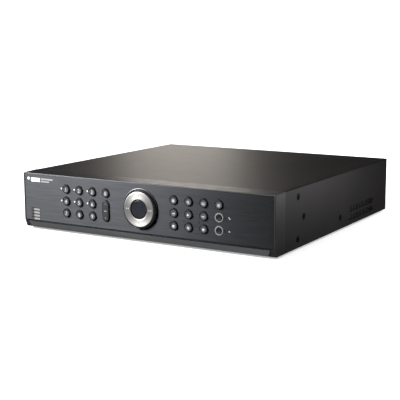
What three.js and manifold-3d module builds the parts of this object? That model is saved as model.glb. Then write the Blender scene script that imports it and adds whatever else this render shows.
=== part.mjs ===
// A 2U desktop digital video recorder: a painted steel case with a moulded front bezel, a brushed
// aluminium face plate, rows of push keys, a four-way ring with a key in its middle, and the boards,
// drives, power supply, fan and rear sockets that the case holds.
//
// Millimetres. +X is to the right of someone facing the front, +Y runs from the front to the rear
// and +Z is up. The parts are laid out with y = 0 on the front of the face plate and z = 0 on the
// table, and the whole group is then moved so that its box is centred on the origin in X and Y.

import * as THREE from "three";
import { mergeVertices } from "three/addons/utils/BufferGeometryUtils.js";
import Module from "manifold-3d";

const wasm = await Module();
wasm.setup();

// ---------------------------------------------------------------- driving dimensions

const WIDTH = 430; // over the bezel
const HEIGHT = 88; // table to the top of the cover
const DEPTH = 412; // face plate to the rear edge of the cover
const FOOT_HEIGHT = 3;
const SHEET = 1; // steel sheet
const GAP = 0.3; // between pieces that are fastened together
const CASE_BOTTOM = FOOT_HEIGHT;

const BEZEL_DEPTH = 29.5;
const BEZEL_BOTTOM = CASE_BOTTOM;
const BEZEL_WALL = 2.5;
const BEZEL_FLOOR = 3;
const BEZEL_FRONT_TOP = 87; // the bezel's top slopes down to here at its front edge
const BEZEL_FRONT_WALL = 5.5; // depth of the front wall, pocket included

const PLATE_HALF_WIDTH = 211.8;
const PLATE_BOTTOM = 15;
const PLATE_TOP = 85.8;
const PLATE_THICKNESS = 1.2;
const POCKET_DEPTH = PLATE_THICKNESS + GAP;
const POCKET_CLEARANCE = 0.4;

const CHIN_TOP = 14.4; // the bezel's front leans back from here down to its bottom
const CHIN_BOTTOM_Y = 4.5;
const CHIN_LEAN = CHIN_BOTTOM_Y / (CHIN_TOP - BEZEL_BOTTOM);
const TRIM = { top: 12.6, bottom: 3.4, topHalf: 207, bottomHalf: 202.8, thickness: 1.2 };
const GROOVE = { half: 208.2, bottom: 12.8, depth: 2.6 };

const COVER_HALF = 214.3;
const COVER_FRONT = BEZEL_DEPTH + 0.4;
const COVER_BEND = 2;
const TRAY_HALF = 212.6;
const TRAY_FRONT = BEZEL_DEPTH + 1.5;
const REAR_WALL = 409.4; // front of the rear wall
const REAR_FACE = REAR_WALL + SHEET;
const TRAY_FLOOR = CASE_BOTTOM + SHEET;

const KEY_PITCH_X = 24.2;
const KEY_PITCH_Z = 18;
const KEY_ROW_Z = [67.5, 67.5 - KEY_PITCH_Z, 67.5 - 2 * KEY_PITCH_Z];
const LEFT_KEYS_X = -132.3;
const RIGHT_KEYS_X = 57.2;
const KEY_RADIUS = 6.3;
const KEY_HOLE = 6.9;
const KEY_FLANGE = 7.2;
const KEY_FLANGE_FRONT = 1.7;
const KEY_PROUD = 1.9;
const KEY_DISH = 0.5; // depth of the hollow in a key's face
const KEY_SEGMENTS = 12;
const STEM_RADIUS = 2;
const STEM_END = 8;
const PLUNGER = { radius: 1.5, end: 7.6, segments: 8 }; // of the rocker and the four-way ring
const SWITCH_TOP = 9.2; // front of the switches on the key board
const SWITCH_HALF = 3;
const BOARD_THICKNESS = 1.6;
const KEY_BOARD = { left: -150, right: 154, bottom: 18, top: 81, front: 12.5 };
const KEY_BOARD_PLUG = { left: -12, right: 12, bottom: 22, top: 30, depth: 8 };

const ROCKER = { half: 5.9, reach: 15.5, hole: 0.5, flange: 0.9, z: 41, plungers: 10 };
const RING_KEY_X = RIGHT_KEYS_X + 3 * KEY_PITCH_X - 0.1;
const RING_KEY = { cap: 4.4, flange: 5.7, flangeFront: 3.6, inner: 4.9, outer: 6.4, hole: 6.7 };
const LIGHT_PROUD = 0.3;
const LIGHT_RADIUS = 1.25;
const LIGHT_HOLE = 1.55;
const CHANNEL_LIGHT_DX = -9.2; // from a number key to its light
const STATUS_LIGHT_DX = 9.9; // from a ring key to its light
const SMALL_LIGHT = { dx: -7.4, dz: 7.4, radius: 0.8, hole: 1.1 };

const DIAL = { x: 1.4, z: 49.5 }; // centre of the four-way ring
const DIAL_HOLE = 29.3;
const DIAL_PROUD = 5.4; // the furthest that anything reaches in front of the face plate
const DIAL_SEGMENTS = 32;
const DIAL_SWITCH_RADIUS = 22;
const COLLAR = { inner: 28.3, tube: 28.9, outer: 29.9, proud: 1.5, back: 3 };
const SKIRT = { inner: 14, outer: 27.6, front: -4.5, back: 2.6, lid: 2, innerWall: 1.4, outerWall: 2.2 };
const RING_FACE = { inner: 14.3, outer: 25.2, back: -4.8, edge: 0.4 };
const ENTER_KEY = { radius: 13.1, front: -4.7, middle: -4.1, back: 2, stem: 3 };
const GIMBAL = { inner: 15.2, outer: 18.6, front: 4.4, back: 6, trunnion: 20 };

const VENT = { y: 254.4, count: 16, pitch: 6.2, width: 3.2, height: 9, rows: [9.9, 23] };
const SIDE_SCREWS = [
  { name: "upper", y: 70, z: 74.5 },
  { name: "middle", y: 88.5, z: 44.5 },
  { name: "lower", y: 70, z: 15 },
  { name: "rear", y: 218.5, z: 20.5 },
];
const DIMPLE = { mouth: 4.8, throat: 2.6, depth: 1.7, pad: 5.8 };
const PAD_DEPTH = 1.2; // how far the sheet behind a dimple stands in
const SIDE_SCREW = { start: 203, shank: 1.9, head: 3.7, sunk: 0.4, slotReach: 2.4, slotHalf: 0.45 };
const SCREW_HOLE = 2.3;
const TAB_HALF = 211.6; // outer face of the tabs that the side screws are driven into
const TAB_TOP = 83;
const SIDE_LIP_TOP = 8;
const FRONT_TAB_END = 100;
const REAR_TAB = { front: 205, rear: 232, top: 36 };
const TRAY_TOP = 86.5; // of its front and rear walls
const TRAY_LIP = 10;
const FRONT_WINDOW = { half: 60, bottom: 18, top: 60 };

const FEET = { x: 185, front: 62, rear: 380, radius: 9 };

const BNC = { x: -101, pitch: 18, columns: 8, rows: [24, 44], radius: 4.8, hole: 6.2, tip: 421 };
const BNC_HOUSING = { front: 393, margin: 11, above: 10 };
const BNC_SHOULDER = { radius: 5.6, proud: 1.5 };
const FAN = { x: -172, z: 44, size: 60, depth: 25, bore: 28.5, blades: 7 };
const FAN_FRONT = REAR_WALL - GAP - FAN.depth;
const FAN_SCREWS = { offset: 25, radius: 2.1 };
const FAN_HUB = { radius: 13, depth: 4, arm: 1.2 };
const ROTOR = { cap: 13.5, front: 1.5, rear: 5, reach: 27.2, chord: 8, blade: 0.7, pitch: 38 };
const GRILLE = { slots: 8, pitch: 6.5, half: 1.75, radius: 27 };
const PORTS = { left: 38, right: 124, bottom: 12, top: 28, front: 394, rear: 411.6 };
// Sockets from the block's lower left corner: left, right, bottom, top and depth.
const SOCKETS = {
  network: { box: [3, 14.7, 3.4, 11.7], depth: 12 },
  lowerBus: { box: [21, 33.5, 1.6, 6.8], depth: 11, tongue: [22, 32.5, 3.9, 5.9] },
  upperBus: { box: [21, 33.5, 9, 14.2], depth: 11, tongue: [22, 32.5, 11.3, 13.3] },
  video: { box: [38, 52, 3, 7.6], depth: 10, tongue: [40, 50, 4.6, 6] },
};
const MONITOR_SOCKET = { left: 62, width: 16.6, slant: 1.6, bottom: 4, top: 12, proud: 5.5 };
const MONITOR_NUTS = { offset: 4.2, radius: 2.3, proud: 4 };
const TERMINALS = { left: -108, right: -26, bottom: 61, top: 73, poles: 16, front: 398, rear: 416 };
const WIRE_HOLE = { half: 1.6, low: 2, high: 5.4, depth: 6 };
const INLET = { left: 146, right: 196, bottom: 24, top: 52, front: 396, flange: 2.2, inset: 2.5 };
const INLET_SOCKET = { left: 4.5, right: 28.5, bottom: 29.8, top: 46.2, depth: 15 };
const INLET_PINS = { side: 7, sideZ: 36, middleZ: 41, half: [1, 2], tip: 3 };
const SWITCH_WELL = { left: 32.2, right: 46.2, bottom: 28.5, top: 47.5, depth: 10 };
const POWER_SWITCH = { y: 409.9, z: 38, tilt: 9 }; // pivot, and the angle from level to a stop
const SWITCH_ROCKER = { left: 33.4, right: 45, half: 8.2, dip: 3, end: 4.4, back: -2.5, belly: -4 };
const MAIN_BOARD = { left: -135, right: 126, front: 235, rear: 405, bottom: 10 };
const DRIVE = { width: 101.6, length: 147, height: 26.1, front: 60, bottom: 8 };
const DRIVES_X = { left: -200, right: -80 };
const DRIVE_LID = { inset: 3, rear: 12, height: 1 };
const DRIVE_SOCKET = { left: 30, right: 72, bottom: 3, top: 9, depth: 6 };
const POST_BOTTOM = 3.5;
const STANDOFF = { radius: 3, inset: 6, rear: 20 };
const DRIVE_POST = { radius: 5, inset: 8, front: 16, rear: 30 };
const SUPPLY = { left: 132, right: 207, front: 230, rear: 393, top: 48 };
const SUPPLY_SLOTS = { count: 12, first: 18, pitch: 11, inset: 14, width: 4 };
// Chips and sockets on the main board: their corners, and how high they stand.
const BOARD_PARTS = [
  { from: [60, 300], to: [96, 330], height: 3 },
  { from: [60, 345], to: [86, 360], height: 2 },
  { from: [-120, 250], to: [-70, 258], height: 9 },
  { from: [-120, 265], to: [-70, 273], height: 9 },
  { from: [20, 242], to: [70, 250], height: 8 },
];
const CAPACITORS = { count: 4, x: -100, pitch: 14, y: 300, radius: 5, height: 13 };
const HEAT_SINK = { left: -20, front: 290, size: 50, base: 3, height: 20, fins: 9, fin: 1.2 };
// Transformer, coil and capacitor of the power supply, from its front left corner.
const SUPPLY_PARTS = [
  { from: [16, 60], to: [50, 95], height: 30 },
  { from: [12, 112], to: [30, 134], height: 26 },
  { from: [40, 108], to: [62, 140], height: 22 },
];

const CENTRE_Y = (BNC.tip - DIAL_PROUD) / 2;

// ---------------------------------------------------------------- materials

const surface = (color, roughness, metalness) =>
  new THREE.MeshStandardMaterial({ color, roughness, metalness, flatShading: true });

const steel = surface(0x2c2b2c, 0.5, 0.4);
const zinc = surface(0xb4b7ba, 0.45, 0.9);
const bezelPlastic = surface(0x3a3a3b, 0.4, 0.1);
const brushedBlack = surface(0x45474c, 0.35, 0.8);
const keyPlastic = surface(0x2f3134, 0.3, 0.2);
const silver = surface(0xd6d4cf, 0.28, 1);
const blackPlastic = surface(0x151617, 0.45, 0);
const clearGuide = surface(0xe8ecef, 0.25, 0);
const rubber = surface(0x1b1b1b, 0.9, 0);
const greenBoard = surface(0x1d5a38, 0.5, 0);
const darkSwitch = surface(0x202224, 0.5, 0);
const driveMetal = surface(0xa9acae, 0.4, 0.8);
const nickel = surface(0xc4c2ba, 0.25, 1);
const terminalGreen = surface(0x2f7d4f, 0.5, 0);
const finMetal = surface(0x8f9295, 0.4, 0.9);

// ---------------------------------------------------------------- geometry helpers

const recorder = new THREE.Group();

// A closed geometry as a solid, with its faces turned out if they point in.
function solid(geometry) {
  const bare = geometry.clone();
  bare.deleteAttribute("normal");
  bare.deleteAttribute("uv");
  const merged = mergeVertices(bare, 1e-4);
  const triVerts = new Uint32Array(merged.index.array);
  const vertProperties = merged.attributes.position.array;
  const make = () => new wasm.Manifold(new wasm.Mesh({ numProp: 3, vertProperties, triVerts }));
  const made = make();
  if (made.volume() > 0) return made;
  for (let i = 0; i < triVerts.length; i += 3) {
    [triVerts[i + 1], triVerts[i + 2]] = [triVerts[i + 2], triVerts[i + 1]];
  }
  return make();
}

function geometryOf(body) {
  const { numProp, numVert, vertProperties, triVerts } = body.getMesh();
  const positions = new Float32Array(numVert * 3);
  for (let i = 0; i < numVert; i += 1) {
    positions.set(vertProperties.subarray(i * numProp, i * numProp + 3), i * 3);
  }
  const geometry = new THREE.BufferGeometry();
  geometry.setAttribute("position", new THREE.BufferAttribute(positions, 3));
  geometry.setIndex(new THREE.BufferAttribute(triVerts, 1));
  return geometry;
}

function add(name, body, material) {
  const mesh = new THREE.Mesh(geometryOf(body), material);
  mesh.name = name;
  recorder.add(mesh);
}

const join = (bodies) => bodies.reduce((whole, next) => whole.add(next));
const cut = (body, cutters) => cutters.reduce((left, next) => left.subtract(next), body);
const range = (count) => Array.from({ length: count }, (_, i) => i);

// A box from its low and high corner.
function box([x0, y0, z0], [x1, y1, z1]) {
  const geometry = new THREE.BoxGeometry(x1 - x0, y1 - y0, z1 - z0);
  geometry.translate((x0 + x1) / 2, (y0 + y1) / 2, (z0 + z1) / 2);
  return solid(geometry);
}

// A body turned about the line through (x, z) along Y, from a profile of [radius, y].
function turned(profile, x, z, segments) {
  const points = profile.map(([r, y]) => new THREE.Vector2(r, y));
  const geometry = new THREE.LatheGeometry(points, segments);
  geometry.translate(x, 0, z);
  return solid(geometry);
}

function rod(radius, x, z, y0, y1, segments) {
  return turned([[0, y0], [radius, y0], [radius, y1], [0, y1]], x, z, segments);
}

function tube(inner, outer, x, z, y0, y1, segments) {
  const profile = [[inner, y0], [outer, y0], [outer, y1], [inner, y1], [inner, y0]];
  return turned(profile, x, z, segments);
}

// A body turned about a line along X, from a profile of [radius, distance from x = 0 outwards].
function turnedSideways(profile, side, y, z, segments) {
  const points = profile.map(([r, x]) => new THREE.Vector2(r, x));
  const geometry = new THREE.LatheGeometry(points, segments);
  geometry.rotateZ((-side * Math.PI) / 2);
  geometry.translate(0, y, z);
  return solid(geometry);
}

// An outline of [x, z] points carried from y0 to y1.
function prismY(outline, y0, y1) {
  const shape = outline instanceof THREE.Shape ? outline : shapeOf(outline);
  const geometry = new THREE.ExtrudeGeometry(shape, {
    depth: y1 - y0,
    bevelEnabled: false,
    curveSegments: 4,
  });
  geometry.rotateX(Math.PI / 2);
  geometry.translate(0, y1, 0);
  return solid(geometry);
}

// An outline of [y, z] points carried from x0 to x1.
function prismX(outline, x0, x1) {
  const geometry = new THREE.ExtrudeGeometry(shapeOf(outline), {
    depth: x1 - x0,
    bevelEnabled: false,
  });
  geometry.rotateY(Math.PI / 2);
  geometry.rotateX(Math.PI / 2);
  geometry.translate(x0, 0, 0);
  return solid(geometry);
}

function shapeOf(outline) {
  return new THREE.Shape(outline.map(([a, b]) => new THREE.Vector2(a, b)));
}

// An upright slot with round ends: half its width, and the reach of each end from its centre.
function stadium(half, reach, x, z) {
  const straight = reach - half;
  const shape = new THREE.Shape();
  shape.absarc(x, z + straight, half, 0, Math.PI, false);
  shape.absarc(x, z - straight, half, Math.PI, 2 * Math.PI, false);
  return shape;
}

// ---------------------------------------------------------------- places of the keys and lights

const keyPlaces = [];
for (const [row, z] of KEY_ROW_Z.entries()) {
  for (const column of range(3)) {
    const x = LEFT_KEYS_X + column * KEY_PITCH_X;
    keyPlaces.push({ name: `number_key_${row * 3 + column + 1}`, x, z });
  }
}
keyPlaces.push({ name: "number_key_0", x: LEFT_KEYS_X + 3 * KEY_PITCH_X, z: KEY_ROW_Z[0] });
for (const [row, z] of KEY_ROW_Z.entries()) {
  for (const column of range(row === 0 ? 4 : 3)) {
    const number = keyPlaces.length - 9;
    keyPlaces.push({
      name: `function_key_${number}`,
      x: RIGHT_KEYS_X + column * KEY_PITCH_X,
      z,
    });
  }
}
const rockerX = LEFT_KEYS_X + 3 * KEY_PITCH_X;
const rockerSwitches = [-ROCKER.plungers, ROCKER.plungers].map((dz) => ({
  x: rockerX,
  z: ROCKER.z + dz,
}));
const dialSwitches = range(4).map((i) => ({
  x: DIAL.x + DIAL_SWITCH_RADIUS * Math.cos((i * Math.PI) / 2),
  z: DIAL.z + DIAL_SWITCH_RADIUS * Math.sin((i * Math.PI) / 2),
}));
const ringKeyPlaces = [
  { name: "ring_key_upper", x: RING_KEY_X, z: KEY_ROW_Z[1] },
  { name: "ring_key_lower", x: RING_KEY_X, z: KEY_ROW_Z[2] },
];
const channelLights = [];
for (const z of KEY_ROW_Z.slice(0, 2)) {
  for (const column of range(3)) {
    channelLights.push({ x: LEFT_KEYS_X + column * KEY_PITCH_X + CHANNEL_LIGHT_DX, z });
  }
}
const statusLights = ringKeyPlaces.map(({ x, z }) => ({ x: x + STATUS_LIGHT_DX, z }));
const smallLights = [1, 2].map((column) => ({
  x: RIGHT_KEYS_X + column * KEY_PITCH_X + SMALL_LIGHT.dx,
  z: KEY_ROW_Z[2] + SMALL_LIGHT.dz,
}));

// ---------------------------------------------------------------- front

function buildBezel() {
  const half = WIDTH / 2;
  const outline = [
    [BEZEL_DEPTH, BEZEL_BOTTOM],
    [BEZEL_DEPTH, HEIGHT],
    [0, BEZEL_FRONT_TOP],
    [0, CHIN_TOP],
    [CHIN_BOTTOM_Y, BEZEL_BOTTOM],
  ];
  const cavity = box(
    [-half + BEZEL_WALL, BEZEL_FRONT_WALL, BEZEL_BOTTOM + BEZEL_FLOOR],
    [half - BEZEL_WALL, BEZEL_DEPTH + 1, BEZEL_FRONT_TOP - BEZEL_WALL],
  );
  const pocketHalf = PLATE_HALF_WIDTH + POCKET_CLEARANCE;
  const pocket = box(
    [-pocketHalf, -1, PLATE_BOTTOM - POCKET_CLEARANCE],
    [pocketHalf, POCKET_DEPTH, PLATE_TOP + POCKET_CLEARANCE],
  );
  const groove = box(
    [-GROOVE.half, -1, GROOVE.bottom],
    [GROOVE.half, GROOVE.depth, PLATE_BOTTOM],
  );
  const windowMargin = KEY_FLANGE + 3;
  const keyWindow = (x0, x1) =>
    box(
      [x0 - windowMargin, 0, KEY_ROW_Z[2] - windowMargin],
      [x1 + windowMargin, BEZEL_FRONT_WALL + 1, KEY_ROW_Z[0] + windowMargin],
    );
  const leftWindow = keyWindow(LEFT_KEYS_X + CHANNEL_LIGHT_DX + 5, rockerX);
  const rightWindow = keyWindow(RIGHT_KEYS_X, RING_KEY_X + STATUS_LIGHT_DX - 5);
  const dialHole = rod(DIAL_HOLE + 0.7, DIAL.x, DIAL.z, 0, BEZEL_FRONT_WALL + 1, DIAL_SEGMENTS);
  const body = cut(prismX(outline, -half, half), [
    cavity,
    pocket,
    groove,
    leftWindow,
    rightWindow,
    dialHole,
  ]);
  add("front_bezel", body, bezelPlastic);
}

function buildFacePlate() {
  const blank = box(
    [-PLATE_HALF_WIDTH, 0, PLATE_BOTTOM],
    [PLATE_HALF_WIDTH, PLATE_THICKNESS, PLATE_TOP],
  );
  const hole = (radius, { x, z }, segments) =>
    rod(radius, x, z, -1, PLATE_THICKNESS + 1, segments);
  const holes = [
    ...keyPlaces.map((place) => hole(KEY_HOLE, place, KEY_SEGMENTS)),
    ...ringKeyPlaces.map((place) => hole(RING_KEY.hole, place, KEY_SEGMENTS)),
    ...channelLights.map((place) => hole(LIGHT_HOLE, place, 6)),
    ...statusLights.map((place) => hole(LIGHT_HOLE, place, 6)),
    ...smallLights.map((place) => hole(SMALL_LIGHT.hole, place, 6)),
    hole(DIAL_HOLE, DIAL, DIAL_SEGMENTS),
    prismY(
      stadium(ROCKER.half + ROCKER.hole, ROCKER.reach + ROCKER.hole, rockerX, ROCKER.z),
      -1,
      PLATE_THICKNESS + 1,
    ),
  ];
  add("face_plate", cut(blank, holes), brushedBlack);
}

// The brushed strip under the face plate, which leans back with the bezel's chin.
function buildTrim() {
  const backTop = CHIN_LEAN * (CHIN_TOP - TRIM.top) - GAP;
  const backBottom = CHIN_LEAN * (CHIN_TOP - TRIM.bottom) - GAP;
  const outline = [
    [backTop - TRIM.thickness, TRIM.top],
    [backBottom - TRIM.thickness, TRIM.bottom],
    [backBottom, TRIM.bottom],
    [backTop, TRIM.top],
  ];
  const endCut = (side) =>
    prismY(
      [
        [side * TRIM.topHalf, TRIM.top],
        [side * TRIM.bottomHalf, TRIM.bottom],
        [side * TRIM.bottomHalf, TRIM.bottom - 1],
        [side * (TRIM.topHalf + 3), TRIM.bottom - 1],
        [side * (TRIM.topHalf + 3), TRIM.top + 1],
        [side * TRIM.topHalf, TRIM.top + 1],
      ],
      -2,
      8,
    );
  const bar = prismX(outline, -TRIM.topHalf - 1, TRIM.topHalf + 1);
  add("lower_trim", cut(bar, [endCut(1), endCut(-1)]), brushedBlack);
}

// A round key: a dished cap in front of a flange and a stem that meets its switch.
function keyBody(radius, flange, flangeFront, { x, z }) {
  return turned(
    [
      [0, KEY_DISH - KEY_PROUD],
      [radius - 0.4, -KEY_PROUD],
      [radius, 0.4 - KEY_PROUD],
      [radius, flangeFront],
      [flange, flangeFront],
      [flange, flangeFront + 1],
      [STEM_RADIUS, flangeFront + 1],
      [STEM_RADIUS, STEM_END],
      [0, STEM_END],
    ],
    x,
    z,
    KEY_SEGMENTS,
  );
}

function buildKeys() {
  for (const place of keyPlaces) {
    add(place.name, keyBody(KEY_RADIUS, KEY_FLANGE, KEY_FLANGE_FRONT, place), keyPlastic);
  }
  for (const place of ringKeyPlaces) {
    const { cap, flange, flangeFront } = RING_KEY;
    add(place.name, keyBody(cap, flange, flangeFront, place), keyPlastic);
  }
}

// A pin that reaches back to a switch on the key board.
function plunger(x, z, from) {
  return rod(PLUNGER.radius, x, z, from, PLUNGER.end, PLUNGER.segments);
}

// The long key tilts up and down about a line through its middle.
function buildRocker() {
  const { half, reach, z, flange } = ROCKER;
  const flangeFront = 2.4;
  const cap = prismY(stadium(half, reach, rockerX, z), -KEY_PROUD, flangeFront + 0.2);
  const rim = prismY(
    stadium(half + flange, reach + flange, rockerX, z),
    flangeFront,
    flangeFront + 1,
  );
  const stems = rockerSwitches.map((place) => plunger(place.x, place.z, flangeFront + 0.5));
  add("rocker_key", join([cap, rim, ...stems]), keyPlastic);
}

function buildDial() {
  const { x, z } = DIAL;
  const collar = [
    [COLLAR.inner, -COLLAR.proud],
    [COLLAR.outer, 0.5 - COLLAR.proud],
    [COLLAR.outer, -GAP],
    [COLLAR.tube, -GAP],
    [COLLAR.tube, COLLAR.back],
    [COLLAR.inner, COLLAR.back],
    [COLLAR.inner, -COLLAR.proud],
  ];
  add("dial_collar", turned(collar, x, z, DIAL_SEGMENTS), blackPlastic);

  const lidBack = SKIRT.front + SKIRT.lid;
  const skirt = [
    [SKIRT.outer, lidBack],
    [SKIRT.outer, SKIRT.back],
    [SKIRT.outer - SKIRT.outerWall, SKIRT.back],
    [SKIRT.outer - SKIRT.outerWall, lidBack],
    [SKIRT.inner + SKIRT.innerWall, lidBack],
    [SKIRT.inner + SKIRT.innerWall, SKIRT.back],
    [SKIRT.inner, SKIRT.back],
    [SKIRT.inner, SKIRT.front],
    [SKIRT.outer - 1, SKIRT.front],
    [SKIRT.outer, lidBack],
  ];
  const plungers = dialSwitches.map((place) => plunger(place.x, place.z, lidBack - 0.5));
  add("dial_ring_body", join([turned(skirt, x, z, DIAL_SEGMENTS), ...plungers]), blackPlastic);

  const face = [
    [RING_FACE.inner, -DIAL_PROUD],
    [RING_FACE.outer - RING_FACE.edge, -DIAL_PROUD],
    [RING_FACE.outer, RING_FACE.edge - DIAL_PROUD],
    [RING_FACE.outer, RING_FACE.back],
    [RING_FACE.inner, RING_FACE.back],
    [RING_FACE.inner, -DIAL_PROUD],
  ];
  add("dial_ring_face", turned(face, x, z, DIAL_SEGMENTS), silver);

  const middle = [
    [0, ENTER_KEY.middle],
    [ENTER_KEY.radius - 0.6, ENTER_KEY.front],
    [ENTER_KEY.radius, ENTER_KEY.front + 0.4],
    [ENTER_KEY.radius, ENTER_KEY.back],
    [ENTER_KEY.stem, ENTER_KEY.back],
    [ENTER_KEY.stem, STEM_END],
    [0, STEM_END],
  ];
  add("enter_key", turned(middle, x, z, 24), keyPlastic);

  const gimbalRing = tube(GIMBAL.inner, GIMBAL.outer, x, z, GIMBAL.front, GIMBAL.back, 24);
  const trunnion = box(
    [-GIMBAL.trunnion, GIMBAL.front + GAP, -0.8],
    [0.6 - GIMBAL.outer, GIMBAL.back - GAP, 0.8],
  );
  const trunnions = range(4).map((i) => trunnion.rotate([0, 90 * i, 0]).translate([x, 0, z]));
  add("dial_gimbal", join([gimbalRing, ...trunnions]), blackPlastic);
}

// One clear moulding carries the light of the board's LEDs to the six channel lights.
function buildChannelGuide() {
  const bar = 0.8;
  const back = { from: 5.4, to: 7 };
  const [upper, lower] = KEY_ROW_Z;
  const columns = channelLights.slice(0, 3).map(({ x }) => x);
  const ledFront = 10.5;
  const pins = channelLights.map(({ x, z }) =>
    rod(LIGHT_RADIUS, x, z, -LIGHT_PROUD, ledFront, 6),
  );
  const uprights = columns.map((x) =>
    box([x - bar, back.from, lower], [x + bar, back.to, upper]),
  );
  const middle = (upper + lower) / 2;
  const rail = box([columns[0], back.from, middle - bar], [columns[2], back.to, middle + bar]);
  add("channel_light_guide", join([...pins, ...uprights, rail]), clearGuide);
}

// The two bright rings and the status lights beside them are one moulding too.
function buildStatusGuide() {
  const bar = 0.7;
  const back = { from: 1.6, to: 3.2 };
  const rings = ringKeyPlaces.map(({ x, z }) =>
    tube(RING_KEY.inner, RING_KEY.outer, x, z, -0.2, back.to, 16),
  );
  const pins = statusLights.map(({ x, z }) =>
    rod(LIGHT_RADIUS, x, z, -LIGHT_PROUD, back.to, 6),
  );
  const smallPins = smallLights.map(({ x, z }) =>
    rod(SMALL_LIGHT.radius, x, z, -0.2, back.to, 6),
  );
  const arms = ringKeyPlaces.map(({ x, z }) =>
    box([x + 5, back.from, z - bar], [x + STATUS_LIGHT_DX, back.to, z + bar]),
  );
  const [upper, lower] = KEY_ROW_Z.slice(1);
  const spineX = statusLights[0].x;
  const spine = box([spineX - bar, back.from, lower], [spineX + bar, back.to, upper]);
  const railZ = (upper + lower) / 2;
  const rail = box(
    [smallLights[0].x - bar, back.from, railZ - bar],
    [spineX, back.to, railZ + bar],
  );
  const drops = smallLights.map(({ x, z }) =>
    box([x - bar, back.from, z - bar], [x + bar, back.to, railZ]),
  );
  const whole = join([...rings, ...pins, ...smallPins, ...arms, spine, rail, ...drops]);
  add("status_light_guide", whole, clearGuide);
}

// The board behind the keys, with one switch for each place that is pressed.
function buildKeyBoard() {
  const { left, right, bottom, top, front } = KEY_BOARD;
  const back = front + BOARD_THICKNESS;
  const board = box([left, front, bottom], [right, back, top]);
  const places = [...keyPlaces, ...ringKeyPlaces, DIAL, ...dialSwitches, ...rockerSwitches];
  const switches = places.map(({ x, z }) =>
    box(
      [x - SWITCH_HALF, SWITCH_TOP, z - SWITCH_HALF],
      [x + SWITCH_HALF, front + 0.5, z + SWITCH_HALF],
    ),
  );
  const plug = box(
    [KEY_BOARD_PLUG.left, back - 0.5, KEY_BOARD_PLUG.bottom],
    [KEY_BOARD_PLUG.right, front + KEY_BOARD_PLUG.depth, KEY_BOARD_PLUG.top],
  );
  add("key_board", join([board, ...switches, plug]), greenBoard);
}

// ---------------------------------------------------------------- case

function buildCover() {
  const top = HEIGHT;
  const outer = coverShape(COVER_HALF, top, COVER_BEND, CASE_BOTTOM);
  const inner = coverShape(COVER_HALF - SHEET, top - SHEET, COVER_BEND - SHEET, CASE_BOTTOM - 1);
  const skin = prismY(outer, COVER_FRONT, DEPTH).subtract(
    prismY(inner, COVER_FRONT - 1, DEPTH + 1),
  );
  const sides = [-1, 1];
  const pads = sides.flatMap((side) => SIDE_SCREWS.map((place) => dimplePad(side, place)));
  const mouths = sides.flatMap((side) => SIDE_SCREWS.map((place) => dimpleMouth(side, place)));
  const vents = sides.flatMap((side) =>
    VENT.rows.flatMap((z) => range(VENT.count).map((i) => ventSlot(side, i, z))),
  );
  add("top_cover", cut(join([skin, ...pads]), [...mouths, ...vents]), steel);
}

// The cover's section: an upside-down U with rounded upper corners.
function coverShape(half, top, bend, bottom) {
  const shape = new THREE.Shape();
  shape.moveTo(half, bottom);
  shape.lineTo(half, top - bend);
  shape.absarc(half - bend, top - bend, bend, 0, Math.PI / 2, false);
  shape.absarc(bend - half, top - bend, bend, Math.PI / 2, Math.PI, false);
  shape.lineTo(-half, bottom);
  return shape;
}

function ventSlot(side, index, z) {
  const y = VENT.y + index * VENT.pitch;
  const edges = [side * (COVER_HALF - SHEET - 1), side * (COVER_HALF + 1)].sort((a, b) => a - b);
  return box([edges[0], y, z], [edges[1], y + VENT.width, z + VENT.height]);
}

// Where a side screw goes, the sheet is pressed in so that the screw's head lies below its face.
function dimplePad(side, { y, z }) {
  const back = COVER_HALF - SHEET - PAD_DEPTH;
  const profile = [
    [0, back],
    [DIMPLE.pad - 1.4, back],
    [DIMPLE.pad, COVER_HALF - SHEET],
    [DIMPLE.pad, COVER_HALF - SHEET / 2],
    [0, COVER_HALF - SHEET / 2],
  ];
  return turnedSideways(profile, side, y, z, 8);
}

function dimpleMouth(side, { y, z }) {
  const profile = [
    [0, COVER_HALF - 4],
    [DIMPLE.throat, COVER_HALF - 4],
    [DIMPLE.throat, COVER_HALF - DIMPLE.depth],
    [DIMPLE.mouth, COVER_HALF],
    [DIMPLE.mouth, COVER_HALF + 1],
    [0, COVER_HALF + 1],
  ];
  return turnedSideways(profile, side, y, z, 8);
}

function buildSideScrews() {
  const { start, shank, head, sunk, slotReach, slotHalf } = SIDE_SCREW;
  const top = COVER_HALF - sunk;
  const profile = [
    [0, start],
    [shank, start],
    [shank, top - 1.6],
    [head, top - 0.3],
    [head, top],
    [0, top],
  ];
  const slot = box([-slotHalf, -slotReach, -slotHalf], [slotHalf, slotReach, slotHalf]);
  const cross = slot.add(slot.rotate([90, 0, 0]));
  for (const side of [-1, 1]) {
    for (const place of SIDE_SCREWS) {
      const recess = cross.translate([side * top, place.y, place.z]);
      const screw = turnedSideways(profile, side, place.y, place.z, 8).subtract(recess);
      add(`side_screw_${side < 0 ? "left" : "right"}_${place.name}`, screw, steel);
    }
  }
}

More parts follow.
